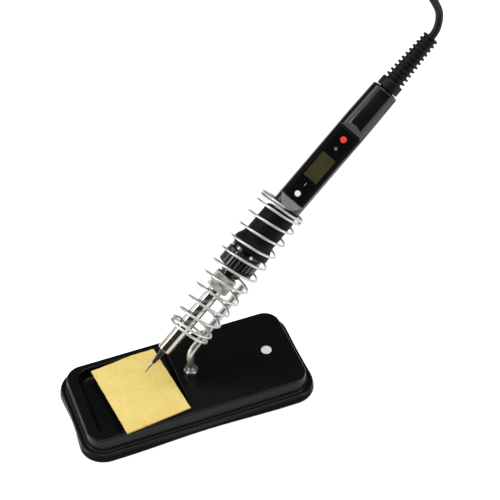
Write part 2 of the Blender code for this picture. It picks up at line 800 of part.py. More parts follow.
def make_handle(frame):
    lower = turned("handle_lower_shell", handle_profile(), GLOSS_BLACK, frame=frame, steps=40)
    upper = turned("handle_upper_shell", handle_profile(), GLOSS_BLACK, frame=frame, steps=40)
    hollow = handle_space("handle_hollow", frame)
    half = GAP / 2
    reach = 14 * MM
    for shell, name, low, high in (
        (lower, "above_seam", -half, reach),
        (upper, "below_seam", -reach, half),
    ):
        away = box(
            name,
            (low, -reach, HANDLE_START - 4 * MM),
            (high, reach, HANDLE_END + 4 * MM),
            collection=CUTTERS,
            frame=frame,
        )
        boolean(shell, hollow)
        boolean(shell, as_cutter(away))
    flat = display_flat("display_flat", frame)
    boolean(upper, flat)
    screw_boss(lower, "lower_post", -6.9 * MM, -half, frame)
    screw_boss(upper, "upper_post", half, 6.9 * MM, frame)
    for name, radius, low, high, shell in (
        ("screw_head_space", 2.2 * MM, -12 * MM, -5.0 * MM, lower),
        ("screw_clearance", 1.3 * MM, -6 * MM, 2 * MM, lower),
        ("screw_pilot", 1.3 * MM, -MM, 5.2 * MM, upper),
    ):
        space = cylinder(
            name, radius, low, high, collection=CUTTERS, frame=frame, axis="X", at=(0.0, SCREW_AT), sides=20
        )
        boolean(shell, as_cutter(space))
    window = box(
        "lcd_window",
        (0.5 * MM, -LCD_WIDTH / 2, LCD_START),
        (8 * MM, LCD_WIDTH / 2, LCD_END),
        collection=CUTTERS,
        frame=frame,
    )
    boolean(upper, as_cutter(window))
    for name, at, radius in (
        ("minus_hole", MINUS_AT, MINUS_RADIUS),
        ("plus_hole", PLUS_AT, PLUS_RADIUS),
    ):
        hole = cylinder(
            name, radius + GAP, 0.5 * MM, 8 * MM, collection=CUTTERS, frame=frame, axis="X", at=(0.0, at)
        )
        boolean(upper, as_cutter(hole))
    screw = turned(
        "handle_screw",
        [
            (0.0, 10.2 * MM),
            (1.0 * MM, 9.4 * MM),
            (1.0 * MM, 1.5 * MM),
            (1.9 * MM, 1.5 * MM),
            (1.9 * MM, 0.4 * MM),
            (1.4 * MM, 0.0),
            (0.0, 0.0),
        ],
        ZINC,
        frame=frame,
        steps=20,
    )
    screw.rotation_euler = (0.0, radians(90), 0.0)
    screw.location = (-6.8 * MM, 0.0, SCREW_AT)


def make_panel(frame):
    """The glossy cover on the flat, with a window for the display and two button holes."""
    cover = box(
        "panel_cover",
        (PANEL_FLAT + GAP, -PANEL_WIDTH / 2, PANEL_START + GAP),
        (PANEL_TOP, PANEL_WIDTH / 2, PANEL_END - GAP),
        GLOSS_BLACK,
        frame=frame,
        bevel=0.12 * MM,
    )
    window = box(
        "cover_window",
        (PANEL_FLAT - MM, -LCD_WIDTH / 2, LCD_START),
        (PANEL_TOP + MM, LCD_WIDTH / 2, LCD_END),
        collection=CUTTERS,
        frame=frame,
    )
    boolean(cover, as_cutter(window))
    for name, at, radius in (
        ("cover_minus_hole", MINUS_AT, MINUS_RADIUS),
        ("cover_plus_hole", PLUS_AT, PLUS_RADIUS),
    ):
        hole = cylinder(
            name,
            radius + GAP,
            PANEL_FLAT - MM,
            PANEL_TOP + MM,
            collection=CUTTERS,
            frame=frame,
            axis="X",
            at=(0.0, at),
        )
        boolean(cover, as_cutter(hole))
    box(
        "lcd_glass",
        (PANEL_FLAT, -LCD_WIDTH / 2 + GAP, LCD_START + GAP),
        (PANEL_TOP - 0.1 * MM, LCD_WIDTH / 2 - GAP, LCD_END - GAP),
        LCD_OLIVE,
        frame=frame,
    )
    box(
        "lcd_module",
        (BOARD_TOP + GAP, -LCD_WIDTH / 2 + GAP, LCD_START + GAP),
        (PANEL_FLAT - GAP, LCD_WIDTH / 2 - GAP, LCD_END - GAP),
        GLOSS_BLACK,
        frame=frame,
    )
    box(
        "circuit_board",
        (BOARD_BOTTOM, -4.5 * MM, 120.9 * MM),
        (BOARD_TOP, 4.5 * MM, 173.1 * MM),
        BOARD_GREEN,
        frame=frame,
    )


def make_buttons(frame):
    """Two caps that slide through the panel, and the switches below them in one group."""
    for name, at, radius, material in (
        ("minus_button", MINUS_AT, MINUS_RADIUS, WHITE_PLASTIC),
        ("plus_button", PLUS_AT, PLUS_RADIUS, RED_PLASTIC),
    ):
        turn = Quaternion((0, 1, 0), radians(90))
        travel_axis = add_frame(name + "_axis", Vector((0.0, 0.0, at)), turn, frame)
        turned(
            name,
            [
                (0.0, BUTTON_TOP),
                (radius - 0.5 * MM, BUTTON_TOP - 0.1 * MM),
                (radius, BUTTON_TOP - 0.5 * MM),
                (radius, BUTTON_BOTTOM),
                (0.0, BUTTON_BOTTOM),
            ],
            material,
            frame=travel_axis,
            steps=24,
        )


def make_inside(frame):
    """The heater's two leads to the board, and the switch under each button."""
    for name, side in (("heater_lead_a", 1), ("heater_lead_b", -1)):
        cylinder(
            name, 0.5 * MM, 73.6 * MM, 120.5 * MM, BRASS, frame=frame, at=(0.0, side * 1.1 * MM), sides=10
        )
    half = 1.7 * MM
    for name, at in (("minus_switch", MINUS_AT), ("plus_switch", PLUS_AT)):
        box(
            name,
            (BOARD_TOP + GAP, -half, at - half),
            (BUTTON_BOTTOM - BUTTON_TRAVEL - 0.05 * MM, half, at + half),
            GLOSS_BLACK,
            frame=frame,
        )


def relief_profile():
    """Smooth neck, then ribs that narrow towards the cord."""
    points = [(0.0, RELIEF_END), (3.7 * MM, RELIEF_END), (4.55 * MM, RELIEF_END - 0.3 * MM)]
    pitch = (RELIEF_END - RELIEF_NECK_END) / RELIEF_RIBS
    for i in range(RELIEF_RIBS):
        top = RELIEF_END - i * pitch
        rib = (4.55 + 1.35 * i / (RELIEF_RIBS - 1)) * MM
        core = (3.6 + 0.65 * i / (RELIEF_RIBS - 1)) * MM
        if i:
            points.append((rib, top - 0.1 * MM))
        points.append((rib, top - pitch * 0.42))
        points.append((core, top - pitch * 0.55))
        points.append((core, top - pitch * 0.95))
    points += [
        (6.1 * MM, RELIEF_NECK_END - 0.1 * MM),
        (6.35 * MM, RELIEF_NECK_END - 0.6 * MM),
        (6.35 * MM, RELIEF_START),
        (4.1 * MM, RELIEF_START),
        (4.1 * MM, RELIEF_START - 5.5 * MM),
        (0.0, RELIEF_START - 5.5 * MM),
    ]
    return points


def make_relief(frame):
    turned("strain_relief", relief_profile(), BLACK_RUBBER, frame=frame, steps=20)


def place(route):
    """Route points are given in millimetres from the middle of the base."""
    return [Vector((BASE_X + x * MM, BASE_Y + y * MM, z * MM)) for x, y, z in route]


def make_cord(iron):
    out = iron.rotation_quaternion @ Vector((0, 0, 1))
    start = iron.location + out * (RELIEF_END + GAP)
    route = [start] + place(CORD_ROUTE)
    centre = Vector((BASE_X + CORD_COIL_CENTRE[0], BASE_Y + CORD_COIL_CENTRE[1], 0.0))
    tube("cord_tube", smooth_route(route, CORD_STEP), CORD_RADIUS, CORD_BLACK)
    ring = turned(
        "cord_coil",
        [
            (CORD_COIL_OUTER - 1.5 * MM, CORD_COIL_HEIGHT),
            (CORD_COIL_OUTER, CORD_COIL_HEIGHT - 1.5 * MM),
            (CORD_COIL_OUTER, 1.5 * MM),
            (CORD_COIL_OUTER - 1.5 * MM, 0.0),
            (CORD_COIL_INNER + 1.5 * MM, 0.0),
            (CORD_COIL_INNER, 1.5 * MM),
            (CORD_COIL_INNER, CORD_COIL_HEIGHT - 1.5 * MM),
            (CORD_COIL_INNER + 1.5 * MM, CORD_COIL_HEIGHT),
        ],
        CORD_BLACK,
        closed=True,
        steps=40,
    )
    ring.location = centre


def plug_section(width, thickness, along, power=3.2, count=24):
    """One level of the plug's moulding: a rounded oblong across the plug's own +Z."""
    points = []
    for i in range(count):
        angle = 2 * pi * i / count
        c, s = cos(angle), sin(angle)
        x = abs(c) ** (2 / power) * (1 if c >= 0 else -1) * width / 2
        y = abs(s) ** (2 / power) * (1 if s >= 0 else -1) * thickness / 2
        points.append(Vector((x, y, along)))
    return points


def make_plug():
    """A flat two-pin mains plug that lies on the coil, its pins away from the stand."""
    height = CORD_COIL_HEIGHT + GAP + PLUG_THICKNESS / 2
    location = Vector((BASE_X + PLUG_START[0], BASE_Y + PLUG_START[1], height))
    forward = Quaternion((0, 1, 0), radians(90))
    flat = Quaternion((0, 0, 1), radians(90))
    frame = add_frame("plug_axis", location, forward @ flat)
    body_start = PLUG_RELIEF
    body_end = PLUG_RELIEF + PLUG_BODY
    sections = [
        plug_section(6.4 * MM, 6.4 * MM, 0.0, 2.0),
        plug_section(8.2 * MM, 8.2 * MM, PLUG_RELIEF * 0.7, 2.0),
        plug_section(13.0 * MM, 10.0 * MM, body_start, 2.4),
        plug_section(21.0 * MM, 12.2 * MM, body_start + 7 * MM),
        plug_section(28.0 * MM, PLUG_THICKNESS, body_start + 16 * MM),
        plug_section(PLUG_WIDTH - 1.6 * MM, PLUG_THICKNESS, body_end - 6 * MM),
        plug_section(PLUG_WIDTH, PLUG_THICKNESS, body_end - 0.8 * MM),
        plug_section(PLUG_WIDTH - 1.0 * MM, PLUG_THICKNESS - 1.0 * MM, body_end),
    ]
    loft("plug_body", sections, GLOSS_BLACK, frame=frame)
    pin_start = body_end + GAP
    for name, side in (("plug_pin_a", 1), ("plug_pin_b", -1)):
        cylinder(
            name,
            PIN_RADIUS,
            pin_start,
            pin_start + PIN_LENGTH,
            BRASS,
            frame=frame,
            at=(side * PIN_SPACING / 2, 0.0),
            sides=20,
        )
    return location


def make_lead(plug_end):
    """The short stretch from the coil's top turn to the plug."""
    route = place(LEAD_ROUTE)
    end = plug_end - Vector((GAP, 0.0, 0.0))
    route += [end - Vector((4 * MM, 0.0, 0.0)), end]
    tube("cord_lead", smooth_route(route, CORD_STEP), CORD_RADIUS, CORD_BLACK)


def main():
    make_base()
    make_feet()
    make_sponge()
    coil_turn = lean(COIL_TILT, COIL_HEADING)
    heading = Vector((cos(COIL_HEADING), sin(COIL_HEADING), 0.0))
    coil_start = Vector((BASE_X + STEM_X, BASE_Y, COIL_START_HEIGHT)) - heading * COIL_START_BACK
    coil = add_frame("coil_axis", coil_start, coil_turn)
    make_coil(coil)
    tube("holder_rod", rod_points(coil), ROD_RADIUS, ZINC, resolution=4)
    make_fasteners()
    tip = Vector((BASE_X + IRON_TIP[0], BASE_Y + IRON_TIP[1], IRON_TIP[2]))
    roll = Quaternion((0, 0, 1), PANEL_ROLL)
    iron = add_frame("iron_axis", tip, lean(IRON_TILT, IRON_HEADING) @ roll)
    make_tip_and_barrel(iron)
    make_barrel_nut(iron)
    make_collar(iron)
    make_grip(iron)
    make_handle(iron)
    make_panel(iron)
    make_buttons(iron)
    make_inside(iron)
    make_relief(iron)
    make_cord(iron)
    make_lead(make_plug())


main()
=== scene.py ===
from math import asin, atan2, cos, pi, radians, sin, tan

import bmesh
import bpy
from mathutils import Matrix, Quaternion, Vector, noise


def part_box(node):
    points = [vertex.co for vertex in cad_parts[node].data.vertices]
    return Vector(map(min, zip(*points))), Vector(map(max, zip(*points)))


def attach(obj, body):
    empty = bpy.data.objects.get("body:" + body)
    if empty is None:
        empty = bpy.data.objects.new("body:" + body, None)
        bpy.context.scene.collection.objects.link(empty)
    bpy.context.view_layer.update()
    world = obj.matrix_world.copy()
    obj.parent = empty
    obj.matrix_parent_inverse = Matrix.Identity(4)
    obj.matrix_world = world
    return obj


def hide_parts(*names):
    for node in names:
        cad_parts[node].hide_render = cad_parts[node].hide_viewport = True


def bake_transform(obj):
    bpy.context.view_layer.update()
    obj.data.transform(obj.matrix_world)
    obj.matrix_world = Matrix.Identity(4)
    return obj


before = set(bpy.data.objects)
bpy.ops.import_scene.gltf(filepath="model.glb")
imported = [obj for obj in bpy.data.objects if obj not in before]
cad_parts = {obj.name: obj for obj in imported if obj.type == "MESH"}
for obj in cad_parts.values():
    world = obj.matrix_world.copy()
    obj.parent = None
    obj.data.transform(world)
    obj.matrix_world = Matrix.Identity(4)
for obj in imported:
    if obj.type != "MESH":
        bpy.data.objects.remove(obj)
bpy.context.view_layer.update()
MM = 0.001


# ---------------------------------------------------------------- camera
BASE_X, BASE_Y = -45.76 * MM, -5.59 * MM
STAND = Vector((BASE_X, BASE_Y, 0.0))


def make_camera():
    right = Vector((0.9333, -0.3588, -0.0154)).normalized()
    up = Vector((0.2632, 0.6542, 0.7091))
    up = (up - right * up.dot(right)).normalized()
    back = right.cross(up)
    data = bpy.data.cameras.new("camera")
    data.sensor_width = 36.0
    data.lens = 107.34
    data.clip_start = 0.01
    data.clip_end = 40.0
    camera = bpy.data.objects.new("camera", data)
    matrix = Matrix((right, up, back)).transposed().to_4x4()
    matrix.translation = Vector((-149.69 * MM, -514.13 * MM, 639.09 * MM)) + STAND
    camera.matrix_world = matrix
    bpy.context.scene.collection.objects.link(camera)
    bpy.context.scene.camera = camera


make_camera()


# ---------------------------------------------------------------- mesh helpers
def link(name, mesh, material, matrix=None, angle=35):
    """A new object with smooth shading that breaks only at sharp edges."""
    if material is not None:
        for item in material if isinstance(material, (list, tuple)) else [material]:
            mesh.materials.append(item)
    mesh.shade_smooth()
    mesh.set_sharp_from_angle(angle=radians(angle))
    obj = bpy.data.objects.new(name, mesh)
    bpy.context.scene.collection.objects.link(obj)
    obj.matrix_world = Matrix.Translation(STAND) @ (matrix or Matrix())
    return obj


def on_body(obj, node=None, body="stand"):
    """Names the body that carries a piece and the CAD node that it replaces."""
    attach(obj, body)
    if node:
        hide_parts(node)
    return obj


def to_mesh(name, bm, recalc=True):
    if recalc:
        bmesh.ops.recalc_face_normals(bm, faces=bm.faces)
    mesh = bpy.data.meshes.new(name)
    bm.to_mesh(mesh)
    bm.free()
    return mesh


def fillet(points, radius, segments=4, closed=False):
    """A profile with its corners rounded; radius is one number or one for each point."""
    result = []
    count = len(points)
    for i, point in enumerate(points):
        size = radius[i] if isinstance(radius, (list, tuple)) else radius
        ends = not closed and i in (0, count - 1)
        if ends or size <= 0:
            result.append(Vector(point))
            continue
        here = Vector(point)
        before = Vector(points[i - 1]) - here
        after = Vector(points[(i + 1) % count]) - here
        angle = before.angle(after) if before.length and after.length else pi
        if angle > radians(172):
            result.append(here)
            continue
        reach = min(size / tan(angle / 2), before.length * 0.48, after.length * 0.48)
        a = here + before.normalized() * reach
        b = here + after.normalized() * reach
        for k in range(segments + 1):
            t = k / segments
            result.append(a * (1 - t) ** 2 + here * 2 * t * (1 - t) + b * t * t)
    return result


def revolve(name, profile, material, matrix=None, steps=96, closed=True, shape=None, angle=35):
    """A turned body; shape may change each point's radius from its angle and height."""
    bm = bmesh.new()
    rings = []
    for k in range(steps):
        turn = 2 * pi * k / steps
        ring = []
        for radius, height in profile:
            r = shape(turn, radius, height) if shape else radius
            ring.append(bm.verts.new((r * cos(turn), r * sin(turn), height)))
        rings.append(ring)
    count = len(profile)
    last = count if closed else count - 1
    for k in range(steps):
        a, b = rings[k], rings[(k + 1) % steps]
        for i in range(last):
            j = (i + 1) % count
            bm.faces.new((a[i], a[j], b[j], b[i]))
    bmesh.ops.remove_doubles(bm, verts=bm.verts, dist=1e-7)
    return link(name, to_mesh(name, bm), material, matrix, angle)


def bridge(bm, rings, cap=True):
    for lower, upper in zip(rings, rings[1:]):
        count = len(lower)
        for i in range(count):
            j = (i + 1) % count
            bm.faces.new((lower[i], lower[j], upper[j], upper[i]))
    if cap:
        bm.faces.new(list(reversed(rings[0])))
        bm.faces.new(rings[-1])


def loft(name, loops, material, matrix=None, angle=35):
    bm = bmesh.new()
    rings = [[bm.verts.new(point) for point in loop] for loop in loops]
    bridge(bm, rings)
    return link(name, to_mesh(name, bm), material, matrix, angle)


def sweep(name, points, radius, material, matrix=None, sides=16, caps=True, shape=None):
    """A round bar along points; shape may change the radius from the point's number and angle."""
    bm = bmesh.new()
    rings = []
    normal = None
    for i, point in enumerate(points):
        ahead = points[min(i + 1, len(points) - 1)] - points[max(i - 1, 0)]
        ahead.normalize()
        if normal is None:
            normal = ahead.orthogonal().normalized()
        normal = (normal - ahead * normal.dot(ahead)).normalized()
        side = ahead.cross(normal)
        ring = []
        for k in range(sides):
            turn = 2 * pi * k / sides
            r = shape(i, turn, radius) if shape else radius
            ring.append(bm.verts.new(point + normal * r * cos(turn) + side * r * sin(turn)))
        rings.append(ring)
    bridge(bm, rings, caps)
    return link(name, to_mesh(name, bm), material, matrix, 50)


def rounded_rectangle(length, width, radius, height, per_corner=16, centre=(0.0, 0.0)):
    points = []
    for sx, sy, start in ((1, 1, 0), (-1, 1, 90), (-1, -1, 180), (1, -1, 270)):
        cx = centre[0] + sx * (length / 2 - radius)
        cy = centre[1] + sy * (width / 2 - radius)
        for i in range(per_corner + 1):
            angle = radians(start + 90 * i / per_corner)
            points.append(Vector((cx + radius * cos(angle), cy + radius * sin(angle), height)))
    return points


def cut(obj, cutter, operation="DIFFERENCE"):
    modifier = obj.modifiers.new("cut", "BOOLEAN")
    modifier.operation = operation
    modifier.solver = "EXACT"
    modifier.object = cutter


def bake(obj, angle=35, bevel=0.0, segments=3, weighted=True):
    """Applies the object's modifiers, rounds its edges and keeps its flat faces flat."""
    if bevel:
        rounding = obj.modifiers.new("edges", "BEVEL")
        rounding.width = bevel
        rounding.segments = segments
        rounding.limit_method = "ANGLE"
        rounding.angle_limit = radians(angle)
        rounding.harden_normals = False
    graph = bpy.context.evaluated_depsgraph_get()
    mesh = bpy.data.meshes.new_from_object(obj.evaluated_get(graph))
    cutters = [m.object for m in obj.modifiers if m.type == "BOOLEAN"]
    obj.modifiers.clear()
    obj.data = mesh
    for cutter in cutters:
        if cutter.name in bpy.data.objects:
            bpy.data.objects.remove(cutter)
    mesh.shade_smooth()
    mesh.set_sharp_from_angle(angle=radians(angle))
    if weighted:
        normals = obj.modifiers.new("normals", "WEIGHTED_NORMAL")
        normals.keep_sharp = True
        normals.weight = 100
    return obj


def block(name, low, high, material, matrix=None):
    bm = bmesh.new()
    bmesh.ops.create_cube(bm, size=1.0)
    low, high = Vector(low), Vector(high)
    for vert in bm.verts:
        vert.co = Vector((low[i] + (vert.co[i] + 0.5) * (high[i] - low[i]) for i in range(3)))
    return link(name, to_mesh(name, bm), material, matrix)


def cone(bm, sides, radius, depth):
    bmesh.ops.create_cone(
        bm, cap_ends=True, segments=sides, radius1=radius, radius2=radius, depth=depth
    )


def rod_block(name, radius, low, high, matrix=None, at=(0.0, 0.0), sides=64):
    """A plain bar along its frame's X, for cutting holes."""
    bm = bmesh.new()
    cone(bm, sides, radius, high - low)
    turn = Matrix.Rotation(radians(90), 4, "Y")
    shift = Matrix.Translation(((low + high) / 2, at[0], at[1]))
    bmesh.ops.transform(bm, matrix=shift @ turn, verts=bm.verts)
    return link(name, to_mesh(name, bm), None, matrix)


def smooth_route(route, step):
    """Points about a step apart on a smooth curve through the route's own points."""
    points = []
    last = len(route) - 1
    for i in range(last):
        p0, p1 = route[max(i - 1, 0)], route[i]
        p2, p3 = route[i + 1], route[min(i + 2, last)]
        count = max(1, round((p2 - p1).length / step))
        for k in range(count):
            t = k / count
            pull = p0 * (-t + 2 * t**2 - t**3) + p1 * (2 - 5 * t**2 + 3 * t**3)
            pull += p2 * (t + 4 * t**2 - 3 * t**3) + p3 * (t**3 - t**2)
            points.append(pull / 2)
    points.append(route[-1])
    return points


# ---------------------------------------------------------------- materials
class Nodes:
    """Short names for the nodes of one material."""

    def __init__(self, name):
        self.material = bpy.data.materials.new(name)
        self.material.use_nodes = True
        self.tree = self.material.node_tree
        self.shader = self.tree.nodes["Principled BSDF"]
        self.place = self.tree.nodes.new("ShaderNodeTexCoord").outputs["Object"]

    def new(self, kind, **inputs):
        node = self.tree.nodes.new(kind)
        for key, value in inputs.items():
            self.put(node, key.replace("_", " "), value)
        return node

    def put(self, node, key, value):
        if isinstance(value, bpy.types.NodeSocket):
            self.tree.links.new(value, node.inputs[key])
        else:
            node.inputs[key].default_value = value

    def set(self, key, value):
        self.put(self.shader, key, value)

    def noise(self, scale, detail=4.0, roughness=0.55, stretch=None):
        node = self.new("ShaderNodeTexNoise", Scale=scale, Detail=detail, Roughness=roughness)
        source = self.place
        if stretch:
            mapping = self.new("ShaderNodeMapping", Vector=self.place, Scale=stretch)
            source = mapping.outputs["Vector"]
        self.tree.links.new(source, node.inputs["Vector"])
        return node.outputs["Fac"]

    def cells(self, scale, feature="F1"):
        node = self.new("ShaderNodeTexVoronoi", Scale=scale, Vector=self.place)
        node.feature = feature
        return node.outputs["Distance"]

    def ramp(self, value, *stops):
        """Stops are (position, colour or grey)."""
        node = self.new("ShaderNodeValToRGB", Fac=value)
        ramp = node.color_ramp
        while len(ramp.elements) < len(stops):
            ramp.elements.new(1.0)
        for element, (position, colour) in zip(ramp.elements, stops):
            element.position = position
            if not isinstance(colour, (list, tuple)):
                colour = (colour, colour, colour)
            element.color = (*colour, 1.0)
        return node.outputs["Color"]

    def mix(self, fac, a, b):
        node = self.new("ShaderNodeMix")
        node.data_type = "RGBA"
        self.put(node, "Factor", fac)
        for key, value in (("A", a), ("B", b)):
            socket = [s for s in node.inputs if s.name == key and s.type == "RGBA"][0]
            if isinstance(value, bpy.types.NodeSocket):
                self.tree.links.new(value, socket)
            else:
                socket.default_value = (*value, 1.0)
        return [s for s in node.outputs if s.type == "RGBA"][0]

    def maths(self, kind, a, b=0.0):
        node = self.new("ShaderNodeMath")
        node.operation = kind
        self.put(node, 0, a)
        self.put(node, 1, b)
        return node.outputs["Value"]

    def axis(self, letter):
        node = self.new("ShaderNodeSeparateXYZ", Vector=self.place)
        return node.outputs[letter]

    def bump(self, height, distance, strength=1.0, after=None):
        node = self.new("ShaderNodeBump", Height=height, Strength=strength, Distance=distance)
        if after is not None:
            self.tree.links.new(after, node.inputs["Normal"])
        self.tree.links.new(node.outputs["Normal"], self.shader.inputs["Normal"])
        return node.outputs["Normal"]


def black_paint(name="black_paint", shine=0.16):
    """Stoved gloss enamel: faint orange peel, a few settled specks."""
    n = Nodes(name)
    peel = n.noise(420.0, 2.0)
    patches = n.noise(38.0, 5.0, 0.6)
    specks = n.ramp(n.cells(190.0), (0.0, 1.0), (0.035, 1.0), (0.05, 0.0), (1.0, 0.0))
    rare = n.ramp(n.noise(55.0, 1.0), (0.0, 0.0), (0.66, 0.0), (0.7, 1.0), (1.0, 1.0))
    dust = n.maths("MULTIPLY", specks, rare)
    n.set("Base Color", n.mix(dust, (0.0035, 0.0038, 0.0036), (0.05, 0.05, 0.048)))
    n.set("Roughness", n.ramp(patches, (0.2, 0.2), (0.8, 0.3)))
    n.set("Specular IOR Level", shine)
    n.bump(n.maths("ADD", peel, n.maths("MULTIPLY", dust, 0.6)), 0.00002, 0.35)
    return n.material


def zinc_wire(name="zinc_wire", colour=(0.6, 0.61, 0.58), rough=(0.3, 0.46)):
    """Bright drawn wire with a thin zinc coat."""
    n = Nodes(name)
    drawn = n.noise(900.0, 3.0, 0.6)
    stain = n.noise(70.0, 4.0, 0.6)
    dark = tuple(c * 0.72 for c in colour)
    n.set("Base Color", n.mix(n.ramp(stain, (0.35, 0.0), (0.7, 1.0)), colour, dark))
    n.set("Metallic", 1.0)
    n.set("Roughness", n.ramp(stain, (0.3, rough[0]), (0.75, rough[1])))
    n.bump(drawn, 0.00002, 0.4)
    return n.material


def chrome_barrel():
    """Polished steel tube with straw and brown heat tints near its hot end."""
    n = Nodes("barrel_steel")
    along = n.axis("Z")
    heat = n.maths("SUBTRACT", 1.0, n.maths("MULTIPLY", n.maths("SUBTRACT", along, 0.0178), 30.0))
    wander = n.maths("MULTIPLY", n.maths("SUBTRACT", n.noise(120.0, 3.0), 0.5), 0.9)
    heat = n.maths("ADD", heat, wander)
    tint = n.ramp(
        heat, (0.0, (0.46, 0.46, 0.44)), (0.45, (0.45, 0.44, 0.41)), (0.85, (0.46, 0.43, 0.36)),
        (1.0, (0.42, 0.37, 0.29)),
    )
    spots = n.ramp(n.noise(210.0, 5.0, 0.65), (0.0, 0.0), (0.6, 0.0), (0.72, 0.5), (1.0, 0.8))
    n.set("Base Color", n.mix(spots, tint, (0.36, 0.31, 0.25)))
    n.set("Metallic", 1.0)
    n.set("Roughness", n.ramp(n.noise(90.0, 4.0), (0.3, 0.13), (0.8, 0.22)))
    turning = n.new("ShaderNodeTexWave", Vector=n.place, Scale=900.0, Distortion=1.0)
    turning.bands_direction = "Z"
    n.bump(turning.outputs["Fac"], 0.000004, 0.25)
    return n.material


def tip_metal():
    """Black plated cone, with a tinned silver band and a worn working point."""
    n = Nodes("tip_plating")
    along = n.axis("Z")
    wander = n.maths("MULTIPLY", n.maths("SUBTRACT", n.noise(900.0, 3.0), 0.5), 0.0012)
    along = n.maths("MULTIPLY", n.maths("ADD", along, wander), 50.0)
    colour = n.ramp(
        along,
        (0.0, (0.36, 0.36, 0.37)), (0.03, (0.16, 0.16, 0.17)), (0.28, (0.14, 0.14, 0.15)),
        (0.31, (0.34, 0.33, 0.32)), (0.345, (0.28, 0.27, 0.26)),
        (0.365, (0.006, 0.006, 0.0065)), (1.0, (0.006, 0.006, 0.0065)),
    )
    metal = n.ramp(along, (0.0, 1.0), (0.345, 1.0), (0.365, 0.0), (1.0, 0.0))
    n.set("Base Color", colour)
    n.set("Metallic", metal)
    n.set("Roughness", n.ramp(n.noise(600.0, 4.0), (0.3, 0.26), (0.8, 0.42)))
    n.set("Specular IOR Level", 0.3)
    n.bump(n.noise(2400.0, 3.0), 0.00002, 0.3)
    return n.material


def sponge_material():
    """Dry pressed cellulose: warm pale yellow, fine fibres, small pore pits painted darker brown as
    painted shade, and a darker brown rim that is partly the cut edge's own tone and partly painted
    shade, deepest towards the underside.
    """
    n = Nodes("sponge_cellulose")
    fibres = n.noise(1500.0, 6.0, 0.7)
    cloud = n.noise(90.0, 4.0, 0.6)
    fine = n.noise(420.0, 3.0, 0.6)
    body = n.mix(n.ramp(cloud, (0.3, 0.0), (0.72, 1.0)), (0.76, 0.6, 0.185), (0.69, 0.49, 0.12))
    body = n.mix(n.ramp(fibres, (0.35, 0.0), (0.7, 0.4)), body, (0.78, 0.66, 0.3))
    body = n.mix(n.ramp(fine, (0.55, 0.0), (0.78, 0.55)), body, (0.59, 0.385, 0.09))
    # Pore spots are painted darker brown as painted shade inside the pits; the same mask also sinks
    # them in the bump.
    pores_and_pit_shade = n.ramp(n.cells(640.0), (0.0, 1.0), (0.1, 1.0), (0.2, 0.0), (1.0, 0.0))
    sparse = n.ramp(n.noise(260.0, 2.0), (0.0, 0.0), (0.55, 0.0), (0.6, 1.0), (1.0, 1.0))
    pores_and_pit_shade = n.maths("MULTIPLY", pores_and_pit_shade, sparse)
    body = n.mix(n.maths("MULTIPLY", pores_and_pit_shade, 0.75), body, (0.42, 0.25, 0.07))
    # Rim tone: the sheet's edge is painted darker brown, partly the cut edge's own tone and partly
    # painted shade, heavier on the sides and underside than on the top border.
    edge = n.new("ShaderNodeAttribute")
    edge.attribute_name = "edge"
    rim = n.ramp(edge.outputs["Fac"], (0.0, 0.0), (0.5, 0.1), (0.9, 0.8), (1.0, 1.0))
    n.set("Base Color", n.mix(rim, body, (0.3, 0.16, 0.045)))
    n.set("Roughness", n.ramp(fibres, (0.2, 0.85), (0.8, 0.97)))
    n.set("Specular IOR Level", 0.15)
    n.set("Sheen Weight", 0.12)
    relief = n.maths("SUBTRACT", n.maths("MULTIPLY", fibres, 0.6), pores_and_pit_shade)
    n.bump(relief, 0.00022, 0.6)
    return n.material


def rubber(
    name="grip_rubber", colour=(0.0045, 0.0045, 0.004), rough=(0.42, 0.6), grain=1800.0, shine=0.2
):
    """Moulded soft rubber with a fine matt skin."""
    n = Nodes(name)
    skin = n.noise(grain, 3.0, 0.6)
    wear = n.noise(60.0, 5.0, 0.6)
    pale = tuple(c * 2.2 for c in colour)
    n.set("Base Color", n.mix(n.ramp(wear, (0.45, 0.0), (0.8, 1.0)), colour, pale))
    n.set("Roughness", n.ramp(wear, (0.3, rough[0]), (0.8, rough[1])))
    n.set("Specular IOR Level", shine)
    n.bump(skin, 0.00005, 0.35)
    return n.material


def gloss_plastic(name, colour=(0.0032, 0.0032, 0.0034), rough=(0.11, 0.2), peel=0.1):
    """Polished moulded plastic: faint flow marks and handling haze."""
    n = Nodes(name)
    haze = n.noise(46.0, 5.0, 0.62)
    flow = n.noise(260.0, 2.0)
    pale = tuple(c * 1.5 for c in colour)
    n.set("Base Color", n.mix(n.ramp(haze, (0.4, 0.0), (0.8, 1.0)), colour, pale))
    n.set("Roughness", n.ramp(haze, (0.3, rough[0]), (0.8, rough[1])))
    n.bump(flow, 0.00002, peel)
    return n.material


def facet_highlight_material():
    """The sloping step in front of the panel: fine satin texture, coloured mid grey as a painted
    highlight where the black handle plastic catches the light.
    """
    n = Nodes("facet_painted_highlight")
    grain = n.noise(2600.0, 2.0)
    cloud = n.noise(300.0, 3.0)
    # Mid grey on a black handle: painted highlight.
    n.set("Base Color", n.ramp(cloud, (0.3, (0.125, 0.128, 0.112)), (0.75, (0.17, 0.174, 0.155))))
    n.set("Roughness", n.ramp(grain, (0.3, 0.38), (0.7, 0.55)))
    n.bump(grain, 0.00003, 0.5)
    return n.material


